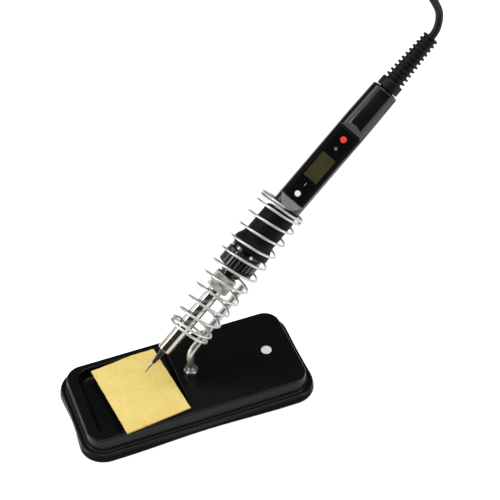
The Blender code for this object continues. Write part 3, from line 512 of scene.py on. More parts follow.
def lcd_material():
    """Unlit reflective display: olive, with faint vertical grain."""
    n = Nodes("lcd_face")
    cloud = n.noise(120.0, 3.0)
    grain = n.noise(1400.0, 2.0, 0.5, (1.0, 1.0, 0.15))
    body = n.mix(n.ramp(cloud, (0.3, 0.0), (0.75, 1.0)), (0.03, 0.028, 0.009), (0.042, 0.04, 0.014))
    n.set("Base Color", n.mix(n.maths("MULTIPLY", grain, 0.25), body, (0.02, 0.02, 0.007)))
    n.set("Roughness", n.ramp(cloud, (0.3, 0.16), (0.8, 0.26)))
    n.set("Coat Weight", 0.6)
    n.set("Coat Roughness", 0.06)
    n.bump(grain, 0.000006, 0.2)
    return n.material


def button_plastic(name, colour, deep):
    n = Nodes(name)
    cloud = n.noise(500.0, 3.0)
    n.set("Base Color", n.mix(n.ramp(cloud, (0.35, 0.0), (0.7, 1.0)), colour, deep))
    n.set("Roughness", n.ramp(cloud, (0.3, 0.32), (0.8, 0.48)))
    n.set("Subsurface Weight", 0.08)
    n.set("Subsurface Scale", 0.001)
    n.bump(n.noise(2200.0, 2.0), 0.00003, 0.25)
    return n.material


def print_white():
    n = Nodes("print_white")
    n.set("Base Color", n.ramp(n.noise(1800.0, 2.0), (0.3, 0.4), (0.7, 0.5)))
    n.set("Roughness", 0.5)
    n.bump(n.noise(2500.0), 0.00002, 0.3)
    return n.material


def board_material():
    n = Nodes("board_laminate")
    weave = n.new("ShaderNodeTexBrick", Vector=n.place, Scale=700.0)
    share = n.maths("MULTIPLY", weave.outputs["Fac"], 0.4)
    n.set("Base Color", n.mix(share, (0.02, 0.2, 0.075), (0.05, 0.3, 0.12)))
    n.set("Roughness", n.ramp(n.noise(300.0), (0.3, 0.35), (0.8, 0.5)))
    n.bump(weave.outputs["Fac"], 0.00003, 0.4)
    return n.material


def ceramic_material():
    n = Nodes("heater_ceramic")
    cloud = n.noise(240.0, 4.0)
    n.set("Base Color", n.ramp(cloud, (0.3, (0.82, 0.79, 0.72)), (0.8, (0.68, 0.6, 0.5))))
    n.set("Roughness", n.ramp(cloud, (0.3, 0.5), (0.8, 0.7)))
    n.bump(n.noise(1800.0), 0.00003, 0.4)
    return n.material


PAINT = black_paint()
# A shaded copy of the base enamel with its reflection cut to 0.02: painted shade for the skirt
# below the ledge.
SKIRT_PAINT_SHADED_COPY = black_paint("skirt_paint_painted_shade", 0.02)
WIRE = zinc_wire()
FASTENER = zinc_wire("zinc_fastener", (0.6, 0.6, 0.55), (0.24, 0.4))
NICKEL = zinc_wire("knurled_nickel", (0.55, 0.53, 0.47), (0.4, 0.52))
BARREL = chrome_barrel()
TIP = tip_metal()
SPONGE = sponge_material()
GRIP = rubber(shine=0.07)
RELIEF = rubber("relief_rubber", (0.003, 0.003, 0.0028), (0.34, 0.5), 1800.0, 0.16)
CORD = rubber("cord_sheath", (0.004, 0.004, 0.004), (0.3, 0.42), 2600.0, 0.2)
FOOT = rubber("foot_rubber", (0.012, 0.012, 0.012), (0.6, 0.8))
STRAP = rubber("tie_strap", (0.01, 0.01, 0.011), (0.7, 0.85), 3200.0)
HANDLE = gloss_plastic("handle_plastic")
COLLAR = gloss_plastic("collar_plastic", (0.003, 0.003, 0.0035), (0.07, 0.14))
PANEL = gloss_plastic("panel_plastic", (0.002, 0.002, 0.002), (0.06, 0.12), 0.04)
PLUG = gloss_plastic("plug_plastic", (0.006, 0.006, 0.006), (0.35, 0.5), 0.5)
FACET_PAINTED_HIGHLIGHT = facet_highlight_material()
LCD = lcd_material()
WHITE = button_plastic("button_white", (0.78, 0.78, 0.75), (0.68, 0.68, 0.65))
RED = button_plastic("button_red", (0.72, 0.045, 0.022), (0.6, 0.03, 0.016))
DISC = button_plastic("plug_grey", (0.86, 0.87, 0.86), (0.76, 0.77, 0.76))
PRINT = print_white()
BOARD = board_material()
CERAMIC = ceramic_material()
PIN = zinc_wire("pin_plating", (0.74, 0.7, 0.6), (0.16, 0.28))
LEADS = button_plastic("lead_silicone", (0.6, 0.58, 0.52), (0.5, 0.48, 0.42))


# ---------------------------------------------------------------- cord
CORD_RADIUS = 2.1 * MM
CORD_ROUTE = (
    (159.0, 40.2, 173.5), (160.8, 41.5, 176.5), (161.6, 42.6, 180.2), (161.2, 43.5, 184.0),
    (158.1, 44.7, 190.5), (153.9, 45.4, 196.7), (150.4, 45.3, 204.2), (149.0, 45.7, 212.0),
    (150.5, 45.5, 219.5), (155.0, 44.6, 226.0), (162.0, 42.8, 230.3), (171.0, 40.0, 231.2),
    (180.0, 36.0, 228.0), (188.0, 30.8, 219.5), (193.5, 25.0, 206.0), (197.0, 18.0, 186.0),
    (199.0, 9.5, 158.0), (199.8, -1.5, 125.0), (199.6, -13.0, 92.0), (199.0, -24.0, 62.0),
    (198.5, -31.5, 42.0), (198.5, -36.0, 25.0), (199.3, -34.8, 12.0), (200.1, -28.6, 4.8),
    (200.1, -20.5, 2.4),
)
LEAD_ROUTE = (
    (209.5, -26.5, 11.4), (202.4, -19.0, 13.4), (198.7, -9.0, 14.9), (199.3, 2.0, 15.8),
    (204.6, 11.0, 16.0),
)
COIL_CENTRE = Vector((232.0 * MM, -5.0 * MM, 0.0))
RING_OUT, RING_IN = 29.6 * MM, 20.9 * MM
LAYER_LOW, LAYER_HIGH = 2.15 * MM, 6.4 * MM
PLUG_START = Vector((218.5 * MM, 15.3 * MM, 15.95 * MM))

IRON_TIP = Vector((-24.2 * MM, -3.65 * MM, 28.5 * MM))
IRON_HEADING = radians(13.4)
COIL_HEADING = radians(17.0)
RELIEF_END = 233.7 * MM


def lean(tilt, heading):
    """The turn that takes +Z to a direction that rises at a tilt towards the heading."""
    return Quaternion((0, 0, 1), heading) @ Quaternion((0, 1, 0), radians(90) - tilt)


IRON_TURN = lean(radians(37.5), IRON_HEADING) @ Quaternion((0, 0, 1), radians(216.3))
IRON = Matrix.Translation(IRON_TIP) @ IRON_TURN.to_matrix().to_4x4()


def ease(t):
    t = min(max(t, 0.0), 1.0)
    return t * t * (3 - 2 * t)


def place(route):
    return [Vector((x * MM, y * MM, z * MM)) for x, y, z in route]


RING_ENTRY = 34.6 * MM


def coil_turns():
    """Two flat layers of two turns: inward along the table, then outward on top."""
    # Degrees swept by each stretch; with the ends and the climb they come to 4.75 turns.
    merge, layer, climb, tail = 72.0, 720.0, 110.0, 88.0
    total = merge + layer + climb + layer + tail
    points = []
    count = round(total / 12.0)
    for i in range(count + 1):
        swept = total * i / count
        if swept < merge:
            radius = RING_ENTRY + (RING_OUT - RING_ENTRY) * ease(swept / merge)
        elif swept < merge + layer:
            radius = RING_OUT + (RING_IN - RING_OUT) * (swept - merge) / layer
        elif swept < merge + layer + climb:
            radius = RING_IN
        else:
            share = min((swept - merge - layer - climb) / layer, 1.0)
            radius = RING_IN + (RING_OUT - RING_IN) * share
        rise = ease((swept - merge - layer) / climb)
        height = LAYER_LOW + (LAYER_HIGH - LAYER_LOW) * rise
        angle = radians(188.0 - swept)
        points.append(COIL_CENTRE + Vector((radius * cos(angle), radius * sin(angle), height)))
    return points


def make_cord():
    out = IRON_TURN @ Vector((0, 0, 1))
    start = IRON_TIP + out * (RELIEF_END - 4 * MM)
    exit_point = IRON_TIP + out * RELIEF_END
    lead_end = PLUG_START - Vector((0.4 * MM, 0, 0))
    route = [start, exit_point + out * 0.3 * MM] + place(CORD_ROUTE) + coil_turns()
    route += place(LEAD_ROUTE) + [lead_end - Vector((4 * MM, 0, 0)), lead_end]
    points = smooth_route(route, 2.0 * MM)
    cord = sweep("mains_cord", points, CORD_RADIUS, CORD, sides=20)
    length = sum((b - a).length for a, b in zip(points, points[1:]))
    return cord, points, exit_point, length


cord, cord_path, cord_exit, cord_length = make_cord()
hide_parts("cord_tube", "cord_coil", "cord_lead")


# ---------------------------------------------------------------- plug and tie
def plug_section(width, thickness, along, power=3.2, count=72):
    points = []
    for i in range(count):
        angle = 2 * pi * i / count
        c, s = cos(angle), sin(angle)
        x = abs(c) ** (2 / power) * (1 if c >= 0 else -1) * width / 2
        y = abs(s) ** (2 / power) * (1 if s >= 0 else -1) * thickness / 2
        points.append(Vector((x, y, along)))
    return points


RIB_PITCH, RIDGE_HEIGHT = 2.3, 6.45
PLUG_TURN = Quaternion((0, 1, 0), radians(90)) @ Quaternion((0, 0, 1), radians(90))
PLUG_AXES = Matrix.Translation(PLUG_START) @ PLUG_TURN.to_matrix().to_4x4()


def plug_sections():
    """Width, thickness and fullness along the plug: ribbed relief, shoulders, flat body."""
    keys = (
        (0.0, 6.4, 6.4, 2.0), (0.7, 6.8, 6.8, 2.0), (9.8, 8.2, 8.2, 2.0),
        (14.0, 13.0, 10.0, 2.4), (21.0, 21.0, 12.2, 3.0), (30.0, 28.0, 13.7, 3.2),
        (41.0, 33.7, 13.7, 3.4), (46.0, 35.2, 13.7, 3.6), (46.7, 34.8, 13.3, 3.6),
        (47.0, 33.8, 12.4, 3.6),
    )
    loops = []
    steps = 96
    for i in range(steps + 1):
        along = 47.0 * i / steps
        k = max(j for j in range(len(keys) - 1) if keys[j][0] <= along + 1e-9)
        a, b = keys[k], keys[k + 1]
        t = ease((along - a[0]) / (b[0] - a[0])) * 0.5 + 0.5 * (along - a[0]) / (b[0] - a[0])
        width, thick, power = (a[j] + (b[j] - a[j]) * t for j in (1, 2, 3))
        if 1.0 < along < 12.5:
            rib = 0.5 * max(0.0, sin(2 * pi * along / RIB_PITCH)) ** 0.6
            width -= rib
            thick -= rib
        loops.append(plug_section(width * MM, thick * MM, along * MM, power))
    return loops


def make_plug():
    body = loft("plug_moulding", plug_sections(), PLUG, PLUG_AXES, angle=40)
    ridges = []
    for side in (1, -1):
        for i in range(4):
            at = 26.0 + i * 3.4
            width = (22.0 + i * 1.4) * MM / 2
            height = side * RIDGE_HEIGHT * MM
            points = [Vector((x * width, height, at * MM)) for x in (-0.8, 0.0, 0.8)]
            points = smooth_route(points, 1.0 * MM)
            ridges.append(sweep("plug_ridge", points, 0.55 * MM, PLUG, PLUG_AXES, sides=10))
    join("plug_grip_ridges", ridges)
    on_body(bpy.data.objects["plug_grip_ridges"], None)
    on_body(body, "plug_body")
    pieces = [body, bpy.data.objects["plug_grip_ridges"]]
    for node, side in (("plug_pin_a", 1), ("plug_pin_b", -1)):
        shift = PLUG_AXES @ Matrix.Translation((side * 9.3 * MM, 0, 0))
        steel = fillet([(0.0, 47.3), (2.0, 47.3), (2.0, 66.3), (0.0, 66.3)], [0, 0.1, 1.3, 0], 8)
        name = node.replace("plug_pin", "plug_prong")
        pin = revolve(name, scaled(steel), PIN, shift, 48, closed=False)
        sleeve = fillet(
            [(2.0, 47.3), (2.0, 57.3), (1.9, 57.4), (1.8, 57.4), (1.8, 47.3)], 0.05, 3, closed=True
        )
        on_body(pin, node)
        skin = [(r + 0.06 if r > 1.9 else r, z) for r, z in sleeve]
        cover = revolve(node + "_sleeve", scaled(skin), PLUG, shift, 48)
        on_body(cover, None)
        pieces += [pin, cover]
    return pieces


def scaled(profile):
    return [(r * MM, z * MM) for r, z in profile]


def join(name, objects):
    """One object from several that share a material and a place."""
    bm = bmesh.new()
    for obj in objects:
        bm.from_mesh(obj.data)
    mesh = bpy.data.meshes.new(name)
    bm.to_mesh(mesh)
    bm.free()
    first = objects[0]
    result = link(name, mesh, list(first.data.materials), None, 50)
    result.matrix_world = first.matrix_world.copy()
    for obj in objects:
        bpy.data.objects.remove(obj)
    return result


def make_tie():
    """A flat strap: one closed band round all the coil's turns."""
    angle = radians(-38)
    outward = Vector((cos(angle), sin(angle), 0.0))
    middle = COIL_CENTRE + outward * (RING_OUT + RING_IN) / 2
    rings = []
    bm = bmesh.new()
    half_w = (RING_OUT - RING_IN) / 2 + CORD_RADIUS + 0.3 * MM
    low, high = 0.15 * MM, LAYER_HIGH + CORD_RADIUS + 0.3 * MM
    outline = rounded_rectangle(half_w * 2, high - low, 2.0 * MM, 0.0, 8, (0.0, (high + low) / 2))
    along = Vector((-sin(angle), cos(angle), 0.0))
    for offset, grow in ((-5.0, 0.0), (-4.6, 0.45), (4.6, 0.45), (5.0, 0.0)):
        ring = []
        for point in outline:
            centre = Vector((0.0, (high + low) / 2, 0.0))
            away = (point - centre).normalized() * grow * MM
            spot = point + Vector((away.x, away.y if point.y > centre.y else 0.0, 0.0))
            rise = Vector((0, 0, max(spot.y, 0.02 * MM)))
            ring.append(bm.verts.new(middle + outward * spot.x + along * offset * MM + rise))
        rings.append(ring)
    bridge(bm, rings, cap=False)
    strap = link("cord_tie", to_mesh("cord_tie", bm), STRAP, None, 60)
    thick = strap.modifiers.new("thick", "SOLIDIFY")
    thick.thickness = 0.4 * MM
    thick.offset = -1.0
    on_body(strap, None)
    return strap


plug_pieces = make_plug()
tie = make_tie()
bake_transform(cord)


# ---------------------------------------------------------------- base
BASE_LENGTH, BASE_WIDTH = 125.0 * MM, 55.4 * MM
BASE_HEIGHT, BASE_CORNER = 12.8 * MM, 9.0 * MM
SHEET, RIDGE = 0.8 * MM, 1.5 * MM
LEDGE_TOP, LEDGE_OUT, SKIRT_OUT = 5.2 * MM, 4.0 * MM, 4.8 * MM
TRAY_LEFT, TRAY_RIGHT, TRAY_WIDTH = -56.5 * MM, -4.8 * MM, 48.6 * MM
STEM_X, SPARE_X = 3.0 * MM, 47.4 * MM


def base_loop(out, height, wave=0.0):
    """The base's outline moved outward; wave lets the skirt flare at its corners."""
    length, width = BASE_LENGTH + 2 * out, BASE_WIDTH + 2 * out
    loop = rounded_rectangle(length, width, BASE_CORNER + out, height)
    dense = []
    for i, point in enumerate(loop):
        following = loop[(i + 1) % len(loop)]
        count = max(1, round((following - point).length / (4 * MM)))
        dense += [point.lerp(following, k / count) for k in range(count)]
    if wave:
        for point in dense:
            x = abs(point.x) / (BASE_LENGTH / 2)
            y = abs(point.y) / (BASE_WIDTH / 2)
            pinch = ease(1 - x / 0.75) * ease(y) + ease(1 - y / 0.72) * ease(x)
            point.x -= (point.x) / (BASE_LENGTH / 2) * wave * pinch * (1 if x > 0.9 else 0)
            point.y -= point.y / (BASE_WIDTH / 2) * wave * pinch * (1 if y > 0.9 else 0)
    return dense


def pan_profile():
    """(outward, height, wave share) from the skirt's hem to the start of the flat top."""
    points = [
        (SKIRT_OUT, 0.5 * MM), (SKIRT_OUT - 0.15 * MM, 2.4 * MM), (LEDGE_OUT, LEDGE_TOP),
        (1.0 * MM, LEDGE_TOP), (0.0, BASE_HEIGHT), (-1.75 * MM, BASE_HEIGHT),
    ]
    sizes = [0, 2.0 * MM, 1.3 * MM, 1.0 * MM, RIDGE, 0]
    rounded = fillet([Vector((a, b, 0)) for a, b in points], sizes, 8)
    return [(p.x, p.y, 1.0 - ease((p.y - 2.0 * MM) / (4.0 * MM))) for p in rounded]


def tray_profile():
    """(outward, height) from the tray's lip down to its floor."""
    floor = BASE_HEIGHT - 6.0 * MM
    lip = [(1.2 * MM, BASE_HEIGHT), (-0.2 * MM, BASE_HEIGHT)]
    points = lip + [(-1.5 * MM, floor), (-8.0 * MM, floor)]
    rounded = fillet([Vector((a, b, 0)) for a, b in points], [0, 1.2 * MM, 2.2 * MM, 0], 8)
    return [(p.x, p.y) for p in rounded]


def upright(name, radius, low, high, at, sides=64):
    bm = bmesh.new()
    cone(bm, sides, radius, high - low)
    shift = Matrix.Translation((at[0], at[1], (low + high) / 2))
    bmesh.ops.transform(bm, matrix=shift, verts=bm.verts)
    return link(name, to_mesh(name, bm), None)


def walls(bm, loops):
    """Side faces between loops; gives the vertices of the first and the last loop."""
    rings = [[bm.verts.new(point) for point in loop] for loop in loops]
    bridge(bm, rings, cap=False)
    return rings[0], rings[-1]


def make_base():
    """One pressed sheet: skirt, ledge, rolled ridge, flat top and tray, then its thickness."""
    bm = bmesh.new()
    skirt = [base_loop(out, height, 1.1 * MM * share) for out, height, share in pan_profile()]
    rim = walls(bm, skirt)[1]
    centre = ((TRAY_LEFT + TRAY_RIGHT) / 2, 0.0)
    length = TRAY_RIGHT - TRAY_LEFT
    hollow = []
    for out, height in tray_profile():
        corner = max(7.0 * MM + out, 0.6 * MM)
        size = (length + 2 * out, TRAY_WIDTH + 2 * out)
        hollow.append(rounded_rectangle(*size, corner, height, 16, centre))
    lip, floor = walls(bm, hollow)
    bm.faces.new(floor)
    edges = []
    for ring in (rim, lip):
        for i, vert in enumerate(ring):
            edges.append(bm.edges.get((vert, ring[(i + 1) % len(ring)])))
    for x, radius in ((STEM_X, 2.35 * MM), (SPARE_X, 2.6 * MM)):
        ring = []
        for i in range(48):
            turn = 2 * pi * i / 48
            ring.append(bm.verts.new((x + radius * cos(turn), radius * sin(turn), BASE_HEIGHT)))
        edges += [bm.edges.new((ring[i], ring[(i + 1) % 48])) for i in range(48)]
    bmesh.ops.triangle_fill(bm, use_beauty=True, use_dissolve=False, edges=edges, normal=(0, 0, 1))
    bmesh.ops.recalc_face_normals(bm, faces=bm.faces)
    bm.faces.ensure_lookup_table()
    top = max(bm.faces, key=lambda face: face.calc_center_median().z)
    if top.normal.z < 0:
        bmesh.ops.reverse_faces(bm, faces=bm.faces)
    # Faces below the ledge take the shaded copy of the enamel: painted shade on the skirt.
    for face in bm.faces:
        face.material_index = int(face.calc_center_median().z < LEDGE_TOP - 1.0 * MM)
    pan = link("base_pan", to_mesh("base_pan", bm, False), [PAINT, SKIRT_PAINT_SHADED_COPY])
    sheet = pan.modifiers.new("sheet", "SOLIDIFY")
    sheet.thickness = SHEET
    sheet.offset = -1.0
    bake(pan, 32)
    on_body(pan, "base_shell")


def make_feet():
    for end in ("left", "right"):
        for side in ("front", "back"):
            node = f"foot_pad_{side}_{end}"
            low, high = (Vector(corner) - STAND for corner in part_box(node))
            pad = block(node.replace("foot_pad", "rubber_foot"), low, high, FOOT)
            bake(pad, 35, 0.35 * MM, 4)
            on_body(pad, node)


def make_sponge():
    """A pressed cellulose sheet with slightly ragged edges and a gently uneven top."""
    low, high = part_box("sponge")
    turn = radians(6.5)
    centre = Vector((-27.1 * MM, -2.0 * MM, 0.0))
    wide, long = 37.6 * MM, 49.3 * MM
    nx, ny = 150, 196
    bm = bmesh.new()
    rim_tone_shade_layer = bm.verts.layers.float.new("edge")
    grid = []
    for i in range(nx + 1):
        row = []
        for j in range(ny + 1):
            u, v = i / nx, j / ny
            x, y = (u - 0.5) * wide, (v - 0.5) * long
            if y > long / 2 - 14 * MM and x > wide / 6:
                trim = 1.5 * MM * (x - wide / 6) / (wide / 3)
                y -= trim * ease((y - long / 2 + 14 * MM) / (14 * MM))
            row.append((x, y, min(min(u, 1 - u) * wide, min(v, 1 - v) * long)))
        grid.append(row)
    thickness = high.z - low.z

    def at(i, j, top):
        x, y, near = grid[i][j]
        spot = Vector((x, y, 0.0))
        ragged = noise.noise(spot * 900) * 0.10 * MM + noise.noise(spot * 260) * 0.16 * MM
        inward = max(0.0, 1 - near / (0.9 * MM))
        pull = 0.12 * MM + ragged
        centre_way = Vector((-x / (wide / 2), -y / (long / 2), 0.0))
        if abs(centre_way.x) > abs(centre_way.y):
            centre_way.y = 0.0
        else:
            centre_way.x = 0.0
        if centre_way.length:
            spot += centre_way.normalized() * pull * inward
        fine = noise.noise(spot * 1700) * 0.05 + noise.noise(spot * 700) * 0.06
        rough = fine + noise.noise(spot * 110) * 0.09
        crown = 0.12 * MM
        if top:
            z = thickness - crown + rough * MM - 0.35 * MM * max(0.0, 1 - near / (0.5 * MM)) ** 2
        else:
            z = 0.1 * MM + 0.25 * MM * max(0.0, 1 - near / (0.5 * MM)) ** 2
        z = min(max(z, 0.02 * MM), thickness)
        x = spot.x * cos(turn) - spot.y * sin(turn)
        turned = Vector((x, spot.x * sin(turn) + spot.y * cos(turn), z))
        vert = bm.verts.new(centre + turned + Vector((0, 0, low.z)))
        # Rim weight for the brown edge tone, 0.75 on top: the painted shade along the edge deepens
        # towards the underside.
        vert[rim_tone_shade_layer] = max(0.0, 1 - near / (0.42 * MM)) * (0.75 if top else 1.0)
        return vert

    top = [[at(i, j, True) for j in range(ny + 1)] for i in range(nx + 1)]
    bottom = [[at(i, j, False) for j in range(ny + 1)] for i in range(nx + 1)]
    for i in range(nx):
        for j in range(ny):
            bm.faces.new((top[i][j], top[i + 1][j], top[i + 1][j + 1], top[i][j + 1]))
            bm.faces.new((bottom[i][j], bottom[i][j + 1], bottom[i + 1][j + 1], bottom[i + 1][j]))
    rim = [(i, 0) for i in range(nx)] + [(nx, j) for j in range(ny)]
    rim += [(i, ny) for i in range(nx, 0, -1)] + [(0, j) for j in range(ny, 0, -1)]
    for k, (i, j) in enumerate(rim):
        a, b = rim[(k + 1) % len(rim)]
        bm.faces.new((bottom[i][j], bottom[a][b], top[a][b], top[i][j]))
    sponge = link("sponge_sheet_visual", to_mesh("sponge_sheet_visual", bm), SPONGE, None, 80)
    on_body(sponge, "sponge", "sponge_sheet")


make_base()
make_feet()
make_sponge()


# ---------------------------------------------------------------- holder
COIL_TURN = lean(radians(39.5), COIL_HEADING)
COIL_START = Vector(
    (STEM_X - 0.3 * MM * cos(COIL_HEADING), -0.3 * MM * sin(COIL_HEADING), 46.7 * MM)
)
COIL_AXES = Matrix.Translation(COIL_START) @ COIL_TURN.to_matrix().to_4x4()
COIL_LENGTH, COIL_TURNS, COIL_WIRE = 85.3 * MM, 13.5, 0.75 * MM
COIL_LOW, COIL_HIGH = 11.2 * MM, 13.25 * MM
CLOSED_PITCH, COIL_STEPS = 1.7 * MM, 56
ROD_RADIUS = 2.0 * MM
WELD_FROM, WELD_TO = 1.0 * MM, 35.0 * MM
WELD_SIZE = (0.95 * MM, 0.95 * MM, 0.5 * MM)


def coil_radius(along):
    share = min(max(along / COIL_LENGTH, 0.0), 1.0)
    return COIL_LOW + (COIL_HIGH - COIL_LOW) * sin(share * pi / 2)


def coil_points():
    """Closed turns at both ends, open turns between."""
    count = round(COIL_TURNS * COIL_STEPS)
    openness = []
    for i in range(count):
        turn = (i + 0.5) / COIL_STEPS
        openness.append(ease(min((turn - 0.7) / 1.6, (COIL_TURNS - 1.2 - turn) / 1.6)))
    extra = (COIL_LENGTH - CLOSED_PITCH * COIL_TURNS) / sum(openness)
    height = 0.0
    points = []
    for i in range(count + 1):
        angle = 2 * pi * i / COIL_STEPS + radians(40)
        radius = coil_radius(height)
        points.append(Vector((radius * cos(angle), radius * sin(angle), height)))
        if i < count:
            height += CLOSED_PITCH / COIL_STEPS + openness[i] * extra
    return points


def rod_points():
    """Up from under the base, over a bend, then along the underside of the coil."""
    below = COIL_LOW + COIL_WIRE + 0.3 * MM + ROD_RADIUS
    spread = (COIL_HIGH - COIL_LOW) * sin(36.0 * MM / COIL_LENGTH * pi / 2)
    start = COIL_START + COIL_TURN @ Vector((below, 0.0, 0.0))
    end = COIL_START + COIL_TURN @ Vector((below + spread, 0.0, 36.0 * MM))
    along = (end - start).normalized()
    stem = Vector((STEM_X, 0.0, 0.0))
    corner = start - along * ((start.x - stem.x) / along.x)
    corner = Vector((stem.x, stem.y, corner.z))
    along = (end - corner).normalized()
    bend = radians(90) - asin(along.z)
    reach = 8.0 * MM
    trim = reach * tan(bend / 2)
    turn_start = corner - Vector((0, 0, trim))
    rise = turn_start.z - 2.0 * MM
    points = [Vector((stem.x, stem.y, 2.0 * MM + rise * i / 30)) for i in range(31)]
    centre = turn_start + Vector((along.x, along.y, 0)).normalized() * reach
    outward = (Vector((stem.x, stem.y, centre.z)) - centre).normalized()
    for i in range(1, 25):
        angle = bend * i / 24
        points.append(centre + outward * reach * cos(angle) + Vector((0, 0, reach * sin(angle))))
    last = points[-1]
    points += [last.lerp(end, i / 16) for i in range(1, 17)]
    return points, start, end


STEM = Matrix.Translation((STEM_X, 0.0, 0.0))


def make_thread(name, top, bottom):
    """M4 rolled thread on the stem, as a helical ridge round a smaller core."""
    bm = bmesh.new()
    pitch, sides, levels = 0.7 * MM, 40, 12
    turns = (top - bottom) / pitch
    rings = []
    count = round(turns * levels)
    for i in range(count + 1):
        z = bottom + (top - bottom) * i / count
        ring = []
        for k in range(sides):
            angle = 2 * pi * k / sides
            phase = ((z - bottom) / pitch - angle / (2 * pi)) % 1.0
            height = 1 - abs(2 * phase - 1)
            fade = ease((top - z) / (1.4 * MM)) * ease((z - bottom) / (0.8 * MM) + 0.3)
            radius = 1.68 * MM + 0.32 * MM * min(height * 1.5, 1.0) * fade
            radius += (2.0 * MM - 1.68 * MM) * (1 - ease((top - z) / (1.4 * MM)))
            ring.append(bm.verts.new((radius * cos(angle), radius * sin(angle), z)))
        rings.append(ring)
    bridge(bm, rings)
    return link(name, to_mesh(name, bm), FASTENER, STEM, 60)


def make_weld(at, normal, size):
    """A small drop of filler where a turn of wire meets the rod."""
    bm = bmesh.new()
    bmesh.ops.create_icosphere(bm, subdivisions=3, radius=1.0)
    side = normal.orthogonal().normalized()
    other = normal.cross(side)
    for vert in bm.verts:
        p = vert.co
        lump = 1 + 0.16 * noise.noise(p * 2.3 + at * 400)
        reach = side * p.x * size[0] + other * p.y * size[1] + normal * p.z * size[2]
        vert.co = at + reach * lump
    return to_mesh("weld", bm)


def make_holder():
    points = coil_points()
    coil = sweep("holder_spring", points, COIL_WIRE, WIRE, COIL_AXES, sides=16)
    on_body(coil, "holder_coil")
    route, start, end = rod_points()
    split = 5
    rod = sweep("holder_stem", route[split:], ROD_RADIUS, WIRE, None, sides=32)
    on_body(rod, "holder_rod")
    top = route[split].z + 0.4 * MM
    thread = make_thread("stem_thread", top, 2.0 * MM)
    on_body(thread, None)
    world = [COIL_AXES @ p for p in points]
    axis = (end - start).normalized()
    beads = []

    def gap(i):
        here = world[i] - start
        return (here - axis * here.dot(axis)).length

    for i in range(1, len(points) - 1):
        along = (world[i] - start).dot(axis)
        if not WELD_FROM < along < WELD_TO or gap(i) > gap(i - 1) or gap(i) >= gap(i + 1):
            continue
        foot = start + axis * along
        way = (world[i] - foot).normalized()
        beads.append(make_weld(foot + way * (ROD_RADIUS + 0.1 * MM), way, WELD_SIZE))
    bm = bmesh.new()
    for mesh in beads:
        bm.from_mesh(mesh)
    welds = link("rod_welds", to_mesh("rod_welds", bm), FASTENER, None, 60)
    on_body(welds, None)


def make_nut(name, node, low, high):
    """Hexagon nut with turned chamfers on its corners."""
    radius = 3.5 * MM / cos(radians(30))
    bm = bmesh.new()
    cone(bm, 6, radius, high - low)
    place_at = Matrix.Translation((STEM_X, 0.0, (low + high) / 2))
    bmesh.ops.transform(bm, matrix=place_at @ Matrix.Rotation(radians(14), 4, "Z"), verts=bm.verts)
    nut = link(name, to_mesh(name, bm), FASTENER)
    dome = [
        (0.0, low - MM * 0.1), (3.3 * MM, low - 0.1 * MM), (radius + 0.05 * MM, low + 0.5 * MM),
        (radius + 0.05 * MM, high - 0.5 * MM), (3.3 * MM, high + 0.1 * MM),
        (0.0, high + 0.1 * MM),
    ]
    cut(nut, revolve("chamfer", dome, None, STEM, 72, closed=False), "INTERSECT")
    cut(nut, upright("bore", 2.05 * MM, low - MM, high + MM, (STEM_X, 0.0)))
    bake(nut, 20, 0.06 * MM, 2)
    on_body(nut, node)


def make_fasteners():
    low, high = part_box("rod_top_nut")
    make_nut("upper_nut", "rod_top_nut", low.z, high.z)
    low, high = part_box("rod_bottom_nut")
    make_nut("lower_nut", "rod_bottom_nut", low.z, high.z)
    low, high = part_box("rod_washer")
    ring = [(4.5 * MM, low.z), (4.5 * MM, high.z), (2.35 * MM, high.z), (2.35 * MM, low.z)]
    washer = revolve("plain_washer", fillet(ring, 0.12 * MM, 3, True), FASTENER, STEM, 72)
    on_body(washer, "rod_washer")
    top = BASE_HEIGHT + 0.05 * MM
    profile = [
        (0.0, top + 0.42 * MM), (1.1 * MM, top + 0.42 * MM), (1.4 * MM, top + 0.62 * MM),
        (2.3 * MM, top + 0.62 * MM), (2.95 * MM, top + 0.3 * MM), (2.95 * MM, top),
        (2.3 * MM, top), (2.3 * MM, top - 2.6 * MM), (1.8 * MM, top - 3.1 * MM),
        (0.0, top - 3.1 * MM),
    ]
    shift = Matrix.Translation((SPARE_X, 0.0, 0.0))
    plug = revolve("blanking_plug", fillet(profile, 0.15 * MM, 4), DISC, shift, 72, closed=False)
    on_body(plug, "hole_plug")


make_holder()
make_fasteners()


# ---------------------------------------------------------------- iron, front
def on_iron(obj, node=None, body="iron"):
    return on_body(obj, node, body)


def rounded_profile(points, sizes, segments=4, closed=False):
    """A profile given in millimetres, with rounded corners, as metres."""
    points = fillet([Vector((r, z, 0)) for r, z in points], sizes, segments, closed)
    return [(p.x * MM, p.y * MM) for p in points]


def iron_revolve(name, profile, material, sizes=0.1, steps=96, closed=True, segments=4):
    points = rounded_profile(profile, sizes, segments, closed)
    return revolve(name, points, material, IRON, steps, closed)


def iron_block(name, low, high, material=None, matrix=IRON):
    """A block in the iron's frame, its corners in millimetres."""
    return block(name, [v * MM for v in low], [v * MM for v in high], material, matrix)


